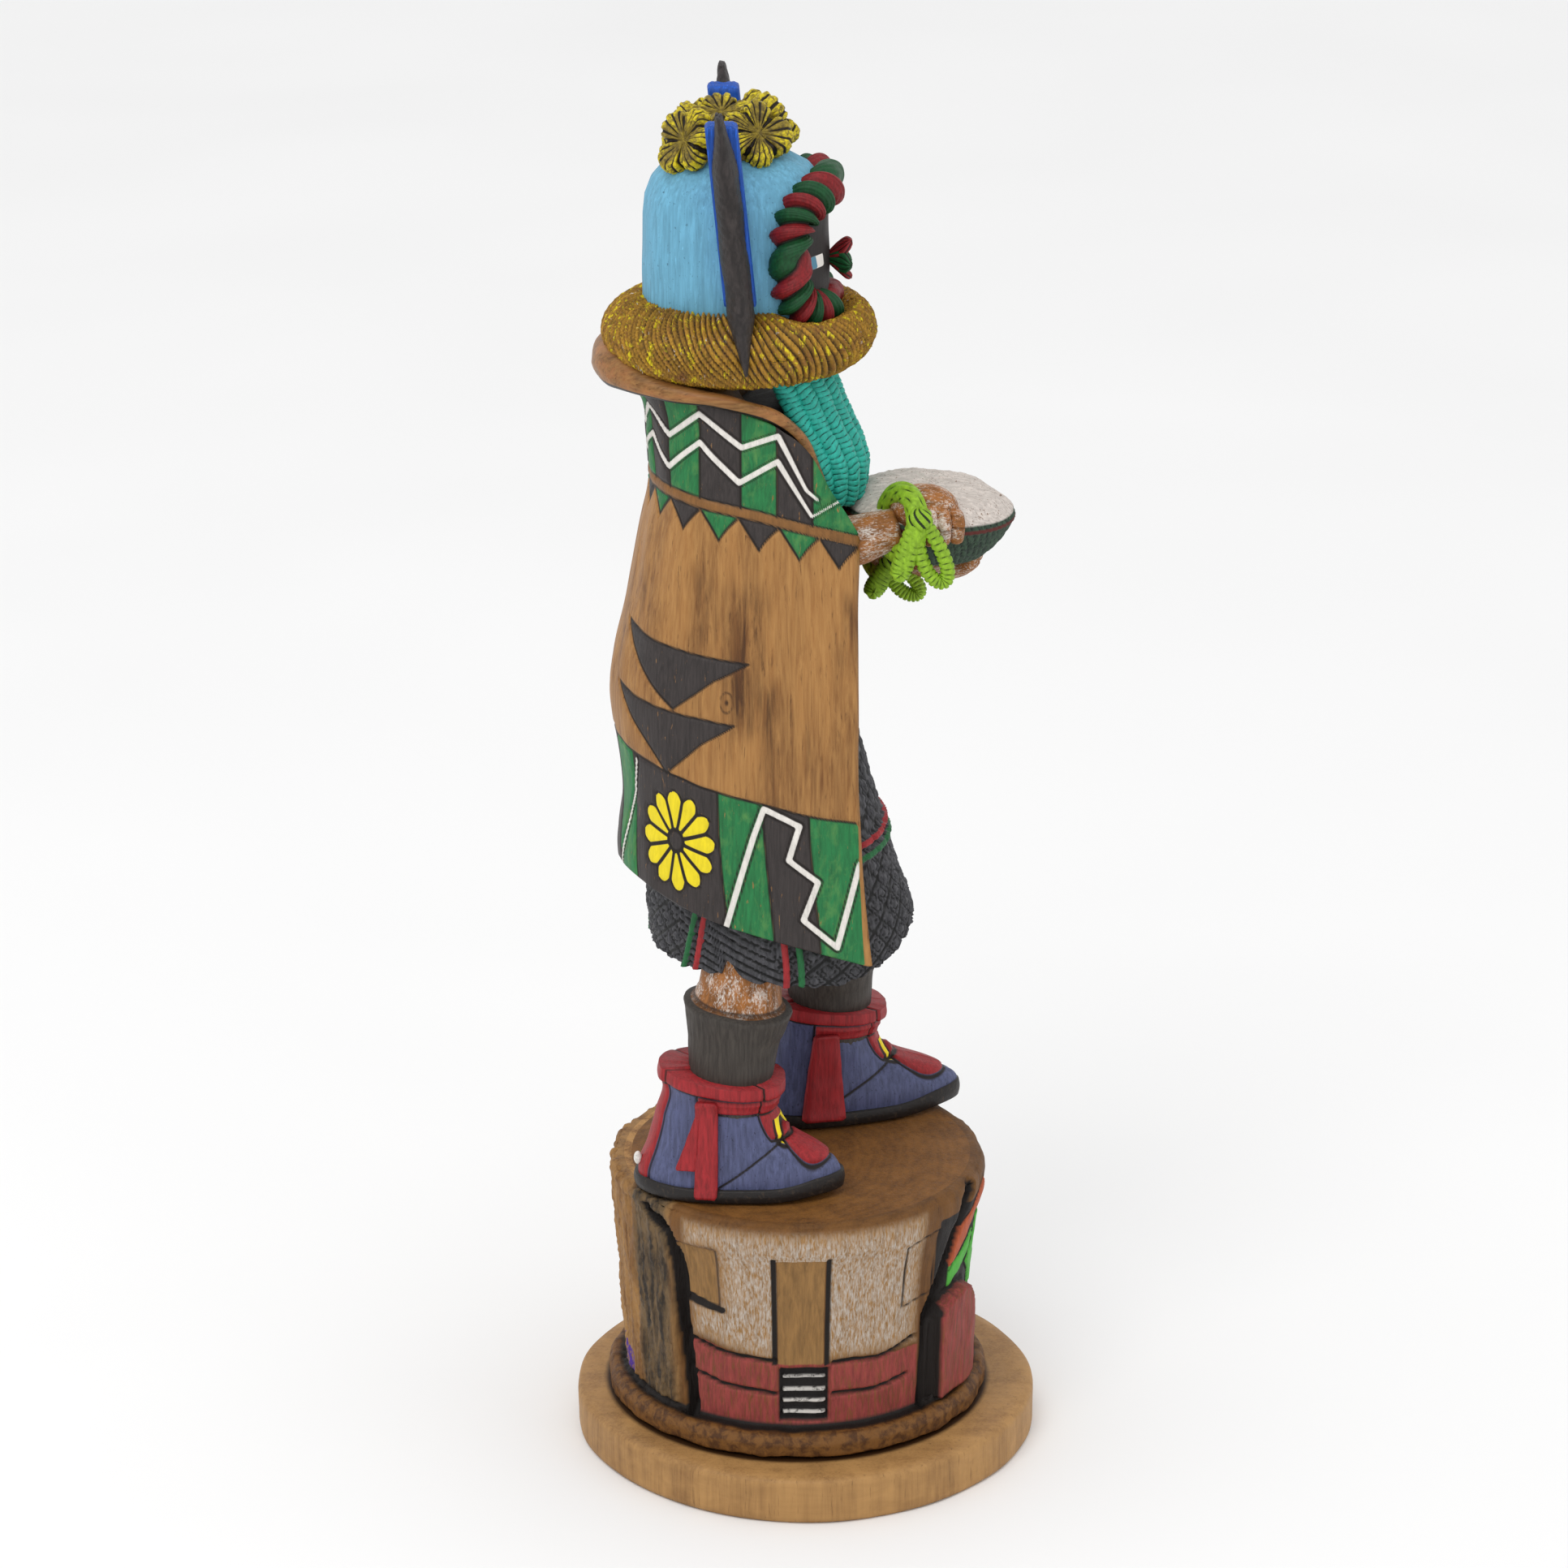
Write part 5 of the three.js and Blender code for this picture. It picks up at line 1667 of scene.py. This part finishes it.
STUMP_X = -1.9
WALL_REACH = 38.5  # the wall's mean radius, which turns its angles into arcs
STUMP_OUTLINE = (
    (0, 10.5), (41, 10.5), (42, 11.4), (42.1, 14.2), (41.2, 15.9), (39.6, 16.6), (37.5, 17), (37.8, 25),
    (38.2, 36), (39.2, 47), (39.9, 53), (40.5, 56), (41.3, 58.6), (41.6, 61.5), (41.4, 63.8), (40.7, 65),
    (39.4, 65.5), (0, 65.5))
OUTLINE_SHARES = (0.03, *[1.0] * 15, 0.22)  # how finely each stretch of the outline is drawn
FOOT_TOP = 16.8  # the moulded foot's upper edge
WALL_INSIDE = 36  # every point of the wall lies farther from the stump's axis
DEGREE = math.radians(1) * WALL_REACH  # one degree as an arc along the wall
POST = {"edge": -132, "bark": -154, "far_edge": 128, "top": 62.5, "low": 38.4, "high": 40.9}
CLEFTS = (  # a line, and its width and depth
    ([(-143, 62.6), (-133.5, 58.5), (-131, 52), (-130.6, 40), (-129, 28), (-127.5, 17)], 3.2, 3.2),
    ([(-23, 63.5), (-27.2, 61.6), (-34.7, 48.9), (-42.1, 37.3), (-42.5, 17)], 3.6, 3.4),
)
SLAB = [
    (-44.5, 16), (-44, 35), (-41, 38), (-35, 41), (-27, 42), (-22, 41), (-18, 37), (-15.5, 30), (-15, 16)]
SLAB_REACH = 41.4
ORANGE_BLADE = [(-33, 49), (-28.5, 55), (-20, 59), (-9, 62), (-7, 59), (-17, 54.5), (-23, 51), (-32, 46)]
LEAVES = (
    [(-32.6, 46.5), (-23, 48.5), (-14, 51.5), (-17, 47), (-22, 44.5), (-29.5, 43), (-33, 41)],
    [(-9.5, 57), (-13.5, 46.5), (-19, 44), (-14.5, 41), (-10.5, 36), (-6.5, 36), (-8.5, 46)],
)
LEFT_WINDOW = [(-130, 43.6), (-130, 57.5), (-116.2, 57.8), (-116.2, 43.8)]
RIGHT_WINDOW = [(-53.6, 42), (-53.8, 56.6), (-41, 58), (-42, 43.5)]
DOOR = {"from": -96.6, "to": -81.3, "bottom": 31.2, "top": 57.2}
LADDER = {"from": -96.4, "to": -79.3, "bottom": 17.4, "top": 30.6, "rungs": (19.5, 22.3, 25, 28)}
BANDS = (  # the grooves of the red wall
    [(-130, 34.9), (-118, 32.9), (-97.6, 31.9)], [(-129, 26.6), (-115, 24.9), (-97.4, 24.1)],
    [(-78, 31.6), (-62, 31.2), (-47.5, 33.5)], [(-78, 23.9), (-64, 23.6), (-51, 24.9)],
)
FAR_WINDOW = [(78, 42), (78, 54), (92, 54), (92, 42)]


def arc_of(corners):
    """Corners given in degrees and heights, as arcs and heights."""
    return [(angle * DEGREE, z) for angle, z in corners]


def stump_wall(u, v):
    r, z = profile(STUMP_OUTLINE, OUTLINE_SHARES)(v)
    return ring((STUMP_X, 0), r, r, TURN * u, z)


def stump_plan(u, v):
    """Arc from straight ahead, height and radius on the stump."""
    x, y, z = stump_wall(u, v)
    angle = (TURN * u + math.pi) % TURN - math.pi
    return angle * WALL_REACH, z, np.hypot(x - STUMP_X, y)


def upright_box(arc, z, box):
    """How far each point lies inside an upright box that is given in degrees and heights."""
    across = np.minimum(arc - box["from"] * DEGREE, box["to"] * DEGREE - arc)
    return np.minimum(across, np.minimum(z - box["bottom"], box["top"] - z))


def ladder_rungs(z, ladder):
    half = setting("doll_stand", "rung") / 2
    rung = np.max([half - np.abs(z - height) for height in LADDER["rungs"]], axis=0)
    return np.minimum(rung, ladder - 0.7)


def wall_bands(arc, z):
    """How far each point is from the grooves of the red wall, which run level on the far side."""
    bands = np.min([distance_to_line(arc, z, arc_of(line)) for line in BANDS], axis=0)
    far_side = (arc > 13 * DEGREE) & (arc < 125 * DEGREE)
    return np.minimum(bands, np.where(far_side, np.minimum(np.abs(z - 32), np.abs(z - 24.4)), 9))


def stump_design(u, v):
    """What is painted, burnt and cut on the stump's wall, as distances in millimetres."""
    arc, z, r = stump_plan(u, v)

    def inside(corners):
        return inside_shape(arc, z, arc_of(corners))

    def from_to(low, high):
        return np.minimum(arc - low * DEGREE, high * DEGREE - arc)
    ladder = upright_box(arc, z, LADDER)
    clefts = [wide / 2 - distance_to_line(arc, z, arc_of(line)) for line, wide, _ in CLEFTS]
    band_top = mix(31.6, 34.9, ease((-97 * DEGREE - arc) / (30 * DEGREE)))
    wall = np.maximum(from_to(-128, -46), from_to(12, 126))
    design = {
        "door": upright_box(arc, z, DOOR), "ladder": ladder, "rung": ladder_rungs(z, ladder),
        "window": inside(LEFT_WINDOW), "frame": inside(RIGHT_WINDOW), "slab": inside(SLAB),
        "cleft": np.max(clefts, axis=0),
        "band": setting("doll_stand", "groove") * 0.4 - wall_bands(arc, z),
        "wall": np.minimum(wall, z - band_top), "brick": np.minimum(wall, band_top - z),
        "post": np.maximum(POST["edge"] * DEGREE - arc, arc - POST["far_edge"] * DEGREE),
        "bark": from_to(POST["bark"], POST["edge"]), "backdrop": np.minimum(from_to(-41, 8), 64 - z),
        "orange": inside(ORANGE_BLADE), "leaf": np.max([inside(leaf) for leaf in LEAVES], axis=0),
        "far": np.maximum(inside(FAR_WINDOW), 0)}
    on_wall = (r > WALL_INSIDE) & (z > FOOT_TOP)
    return {name: only(on_wall, value) for name, value in design.items()}


OUTLINED = {"window": 0.35, "frame": 0.4, "slab": 0.7, "orange": 0.35, "leaf": 0.35, "far": 0.3}
SILL = [(-131.5, 45), (-124, 43.8), (-115, 43)]
DOOR_POSTS = (-97.5, -80.4)


def stump_burns(arc, z, r, design):
    """Every burnt line: grooves, outlines, the sill, the door's posts, and the foot's two edges."""
    to_post = np.min([np.abs(arc - post * DEGREE) for post in DOOR_POSTS], axis=0)
    burns = [
        design["cleft"] + 0.3, design["band"],
        only(z < 58, 1.0 - distance_to_line(arc, z, arc_of(SILL))),
        only((z > 31) & (z < 57.4), 0.75 - to_post),
        only(z < FOOT_TOP, np.maximum(11 - z, z - 16.4)),
        only((z > FOOT_TOP) & (z < 18) & (r > WALL_INSIDE), 17.4 - z)]
    for name, half in OUTLINED.items():
        burns.append(only(design[name] > NOWHERE, half - np.abs(design[name] + 0.2)))
    return only(design["rung"] <= 0, np.max(burns, axis=0))


def stump_marks(u, v):
    arc, z, r = stump_plan(u, v)
    design = stump_design(u, v)
    kept = {name: design[name] for name in ("orange", "leaf", "rung", "post", "bark")}
    wash = np.min([design["wall"], np.maximum(-design["window"], -1) + 0.45, 64.6 - z], axis=0)
    black = np.maximum(np.minimum(design["backdrop"], 60.5 - z), design["ladder"])
    front = only((z > 17) & (z < 24), np.minimum(8 * DEGREE - np.abs(arc + 6 * DEGREE), 23.5 - z))
    behind = only((z > 17) & (z < 23), 9 * DEGREE - np.abs(arc + 168 * DEGREE))
    return {**kept, "wash": only(design["door"] <= 0, wash), "black": only(design["slab"] <= 0, black),
            "golden": np.maximum(design["door"], design["window"]),
            "brick": np.maximum(design["brick"], design["slab"]),
            "burn": stump_burns(arc, z, r, design), "purple": np.maximum(front, behind),
            "foot": only((z > 10.5) & (z < FOOT_TOP), 1)}


def stump_relief(u, v):
    arc, z, r = stump_plan(u, v)
    design = stump_design(u, v)
    deep = setting("doll_stand", "deep")
    wall_post = mix(POST["low"], POST["high"], (z - 17) / 45) - r
    high = wall_post * ease(design["post"] / 1.2) * ease((POST["top"] + 1 - z) / 2) * (z > FOOT_TOP)
    bark = 0.45 * waves(arc * 1.4, z * 0.35, 5, 91) + 0.2 * waves(arc, z, 2.4, 92)
    high = high + np.where(design["post"] > 0, bark, 0)
    for line, wide, depth in CLEFTS:
        off = distance_to_line(arc, z, arc_of(line))
        high = high - depth * ease((wide / 2 + 0.4 - off) / 1.2) * (r > WALL_INSIDE) * (z > FOOT_TOP)
    high = high + (SLAB_REACH - 38) * ease(design["slab"] / 0.9)
    high = high - 2.2 * ease(design["ladder"] / 0.5) + 1.5 * ease(design["rung"] / 0.3)
    high = high - deep * ease((design["band"] + 0.2) / 0.5) - 0.7 * ease(design["window"] / 0.4)
    leaves = np.maximum(design["orange"], design["leaf"])
    high = high - 0.5 * ease(design["far"] / 0.5) + 0.5 * ease(leaves / 0.4)
    marks = stump_marks(u, v)
    high = high - 0.5 * ease((marks["burn"] + 0.2) / 0.6) * (design["cleft"] < 0)
    facets = 0.22 * waves(arc, z * 0.6, 11, 93) + 0.08 * waves(arc, z * 0.4, 3, 94)
    top = 0.12 * waves(stump_wall(u, v)[0], stump_wall(u, v)[1], 16, 95)
    side = (r > WALL_INSIDE) & (z > 10.6) & (z < 65.4)
    return np.where(side, high + facets, np.where(z > 65, top - 0.15, 0)) - np.where(side, 0.15, 0)


RING_SCALE = 0.32 / (2.4 * MM)  # year rings 2.4 mm apart


def painted_stump():
    """Brown wood with faint rings on top, thin whitewash on the wall, and burnt and painted carving."""
    def paint_it(tree):
        spot = add(tree, "ShaderNodeTexCoord").outputs["Object"]
        middle = add(tree, "ShaderNodeMapping", {"Vector": spot, "Location": (0.012, 0.004, 0)}).outputs[0]
        rings = add(tree, "ShaderNodeTexWave", {
            "Vector": middle, "Scale": RING_SCALE, "Distortion": 9.0, "Detail": 5.0, "Detail Scale": 0.8},
            wave_type="RINGS", rings_direction="Z").outputs["Fac"]
        ringed = between(tree, rings, 0.2, 0.9, wood("stump"), shade(wood("stump"), 0.7))
        brown = grained(tree, shade(wood("stump"), 1.35), wood("stump"), wood("stump_dark"))
        below = blend(tree, 0.66, ringed, brown)
        mottled = streaks(tree, (2.2, 2.2, 5), 0.42, 0.6, shade(wood("stump"), 0.8), wood("stump_dark"))
        below = lay(tree, below, mottled, "foot")
        pillar = grained(tree, shade(wood("light"), 1.1), wood("light"), wood("dark"), "Z", 4)
        below = lay(tree, below, pillar, "post", 0.8)
        bark = streaks(tree, (2, 9, 6), 0.4, 0.6, hex_colour("#30271D"), hex_colour("#7C6342"))
        below = lay(tree, below, bark, "bark", 2.5)
        gold = brushed(tree, shade(wood("light"), 0.85), 0.8, 10, dark=0.5)
        below = lay(tree, below, gold, "golden", 0.3)
        bare = brushed(tree, shade(wood("light"), 0.95), 0.7, 9, dark=0.55)
        below = lay(tree, below, bare, "wash", 2)
        chalk = blend(tree, 0.72, bare, paint("white"))
        below = lay(tree, below, chalk, "wash", 4, holds(tree, 0.4, 1.8, 0.38, 0.66))
        brick = brushed(tree, paint("brick"), 0.8, 5, dark=0.45)
        below = lay(tree, below, brick, "brick", 0.3, holds(tree, 0.6, 5, 0.28, 0.52))
        below = lay(tree, below, shade(paint("black"), 0.5), "black", 0.3)
        below = lay(tree, below, brushed(tree, paint("orange"), 0.6, 5), "orange", 0.2)
        below = lay(tree, below, brushed(tree, paint("leaf"), 0.6, 5, dark=0.75), "leaf", 0.2)
        below = lay(tree, below, hex_colour("#5530A0"), "purple", 0.4, holds(tree, 1.5, 1.5, 0.4, 0.5))
        below = lay(tree, below, shade(wood("burn"), 0.8), "burn", 0.35)
        return lay(tree, below, shade(paint("white"), 0.7), "rung", 0.2, holds(tree, 1.2, 1.2, 0.35, 0.5))
    return material_of("cottonwood_stump_burnt_and_painted", paint_it,
                       [(0.5, 6, 0.16, "Z"), (1.8, 12, 0.25, "Z")], 0.62)


def make_stump():
    stump = skin("pueblo", stump_wall, 460, 150, stump_relief, stump_marks)
    finish(stump, painted_stump(), "pueblo_stump")


# The plinth

PLINTH_OUTLINE = ((0, 0), (50, 0), (50.8, 0.4), (51, 1.2), (51, 9.2), (50.7, 10.1), (49.9, 10.5), (0, 10.5))
PLINTH_SHARES = (0.1, 1, 1, 1, 1, 1, 0.4)


def plinth_wall(u, v):
    r, z = profile(PLINTH_OUTLINE, PLINTH_SHARES)(v)
    r = r * (1 - 0.007 * (1 - np.cos(4 * TURN * u)))
    return ring((0, 0), r, r, TURN * u, z)


def plinth_relief(u, v):
    z = plinth_wall(u, v)[2]
    sanded = 0.12 * waves(TURN * u * 51, z, 17, 96) - 0.14
    return np.where((z > 0.3) & (z < 10.45), sanded, 0)


def plinth_marks(u, v):
    x, y, z = plinth_wall(u, v)
    # A dark ring on the top, just beyond the stump's foot: a painted shadow where the stump stands.
    return {"burn": only(z > 10, 43.2 - np.hypot(x - STUMP_X, y))}


def sanded_plinth():
    """A sanded, oiled slice of paler cottonwood, with a painted shadow in a ring round where the stump stands
    on it.
    """
    def paint_it(tree):
        side = grained(tree, shade(wood("plinth"), 1.2), wood("plinth"), wood("plinth_dark"), "Z", 9)
        flat = streaks(tree, (3, 40, 5, "X"), 0.35, 0.7, wood("plinth"), wood("plinth_dark"))
        below = blend(tree, 0.35, side, flat)
        # painted shadow round the stump's foot
        return lay(tree, below, shade(wood("stump_dark"), 0.5), "burn", 1.2)
    return material_of("cottonwood_slice_sanded", paint_it, [(0.5, 7, 0.06, "Z")], 0.55)


def make_plinth():
    plinth = skin("round_plinth", plinth_wall, 180, 36, plinth_relief, plinth_marks)
    finish(plinth, sanded_plinth(), "plinth")


# The stage


def matt_paper():
    """A seamless sheet of pale matt paper."""
    def paint_it(tree):
        return streaks(tree, (300, 300, 2), 0.3, 0.7, hex_colour("#F3F3F3"), hex_colour("#F6F6F6"))
    return material_of("matt_paper", paint_it, [(2, 2, 0.01, "Z")], 0.9, 0.02, 0.1)


def make_floor():
    sheet = bmesh.new()
    bmesh.ops.create_grid(sheet, x_segments=1, y_segments=1, size=6)
    mesh = bpy.data.meshes.new("floor")
    sheet.to_mesh(mesh)
    sheet.free()
    floor = bpy.data.objects.new("floor", mesh)
    bpy.context.scene.collection.objects.link(floor)
    floor.data.materials.append(matt_paper())


def make_camera():
    camera = bpy.data.cameras.new("camera")
    camera.lens = CAMERA_LENS
    camera.sensor_width = 36
    camera.clip_start = 0.01
    holder = bpy.data.objects.new("camera", camera)
    holder.location = CAMERA_PLACE
    holder.rotation_euler = (math.pi / 2 - CAMERA_PITCH, 0, 0)
    bpy.context.scene.collection.objects.link(holder)
    bpy.context.scene.camera = holder


def make_lamp(name, place, size, power, aim=(0, 0, 0.15)):
    lamp = bpy.data.lights.new(name, "AREA")
    lamp.shape = "DISK"
    lamp.size = size
    lamp.energy = power
    holder = bpy.data.objects.new(name, lamp)
    holder.location = place
    way = np.array(place) - np.array(aim)
    holder.rotation_euler = (math.atan2(math.hypot(way[0], way[1]), way[2]), 0, math.atan2(way[0], -way[1]))
    bpy.context.scene.collection.objects.link(holder)


def make_sky():
    sky = bpy.data.worlds.new("soft_studio")
    sky.use_nodes = True
    background = sky.node_tree.nodes["Background"]
    background.inputs["Color"].default_value = (1, 1, 1, 1)
    background.inputs["Strength"].default_value = 0.95
    bpy.context.scene.world = sky
    bpy.context.scene.view_settings.view_transform = "Standard"


# Operators, panel and registration


class DOLL_OT_stage(Operator):
    """Makes the pale floor, the soft light and the camera"""
    bl_idname = "doll.stage"
    bl_label = "Stage"

    def execute(self, context):
        make_camera()
        make_floor()
        make_sky()
        make_lamp("key", (-0.35, -0.75, 1.15), 0.7, 4.5)
        make_lamp("fill", (0.9, -0.5, 0.6), 0.7, 0.5)
        return {"FINISHED"}


class DOLL_OT_shawl(Operator):
    """Makes the shawl with its burnt and painted bands, and its rolled collar"""
    bl_idname = "doll.shawl"
    bl_label = "Shawl and collar"

    def execute(self, context):
        make_shawl()
        make_collar()
        return {"FINISHED"}


class DOLL_OT_mask(Operator):
    """Makes the case mask with its face, and the rope that frames it"""
    bl_idname = "doll.mask"
    bl_label = "Mask and rope"

    def execute(self, context):
        make_mask()
        make_rope()
        return {"FINISHED"}


class DOLL_OT_ruff(Operator):
    """Makes the ruff of twisted strands round the neck"""
    bl_idname = "doll.ruff"
    bl_label = "Ruff"

    def execute(self, context):
        make_ruff()
        return {"FINISHED"}


class DOLL_OT_blossoms(Operator):
    """Makes the blossoms on the crown and at the mouth"""
    bl_idname = "doll.blossoms"
    bl_label = "Blossoms"

    def execute(self, context):
        make_blossoms()
        return {"FINISHED"}


class DOLL_OT_wings(Operator):
    """Makes the two crow's wings"""
    bl_idname = "doll.wings"
    bl_label = "Wings"

    def execute(self, context):
        make_wings()
        return {"FINISHED"}


class DOLL_OT_necklaces(Operator):
    """Makes the strings of turquoise"""
    bl_idname = "doll.necklaces"
    bl_label = "Necklaces"

    def execute(self, context):
        make_necklaces()
        return {"FINISHED"}


class DOLL_OT_arms(Operator):
    """Makes the arms and hands, and the yarn at the wrists"""
    bl_idname = "doll.arms"
    bl_label = "Arms and yarn"

    def execute(self, context):
        make_arms()
        make_yarns()
        return {"FINISHED"}


class DOLL_OT_basket(Operator):
    """Makes the coiled bowl and its heaped meal"""
    bl_idname = "doll.basket"
    bl_label = "Basket of meal"

    def execute(self, context):
        make_basket()
        return {"FINISHED"}


class DOLL_OT_dress(Operator):
    """Makes the black dress with its cords and lattice"""
    bl_idname = "doll.dress"
    bl_label = "Dress"

    def execute(self, context):
        make_dress()
        return {"FINISHED"}


class DOLL_OT_legs(Operator):
    """Makes the legs with their leggings, and the boots"""
    bl_idname = "doll.legs"
    bl_label = "Legs and boots"

    def execute(self, context):
        make_legs()
        make_boots()
        return {"FINISHED"}


class DOLL_OT_stand(Operator):
    """Makes the pueblo stump and the round plinth"""
    bl_idname = "doll.stand"
    bl_label = "Stump and plinth"

    def execute(self, context):
        make_stump()
        make_plinth()
        return {"FINISHED"}


OPERATORS = (
    DOLL_OT_stage, DOLL_OT_shawl, DOLL_OT_mask, DOLL_OT_ruff, DOLL_OT_blossoms, DOLL_OT_wings,
    DOLL_OT_necklaces, DOLL_OT_arms, DOLL_OT_basket, DOLL_OT_dress, DOLL_OT_legs, DOLL_OT_stand)


class DOLL_PT_maker(Panel):
    """Lists the doll's pieces and their sizes and colours"""
    bl_label = "Kachina doll"
    bl_idname = "DOLL_PT_maker"
    bl_space_type = "VIEW_3D"
    bl_region_type = "UI"
    bl_category = "Doll"

    def draw(self, context):
        for operator in OPERATORS:
            self.layout.operator(operator.bl_idname)
        for name, group in GROUPS.items():
            box = self.layout.box()
            for entry in group.__annotations__:
                box.prop(getattr(context.scene, name), entry)


CLASSES = (*GROUPS.values(), *OPERATORS, DOLL_PT_maker)


def register():
    for one in CLASSES:
        bpy.utils.register_class(one)
    for name, group in GROUPS.items():
        setattr(bpy.types.Scene, name, PointerProperty(type=group))


def unregister():
    for name in GROUPS:
        delattr(bpy.types.Scene, name)
    for one in reversed(CLASSES):
        bpy.utils.unregister_class(one)


def main():
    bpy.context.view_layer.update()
    register()
    for operator in OPERATORS:
        area, name = operator.bl_idname.split(".")
        getattr(getattr(bpy.ops, area), name)()


if __name__ == "__main__":
    main()
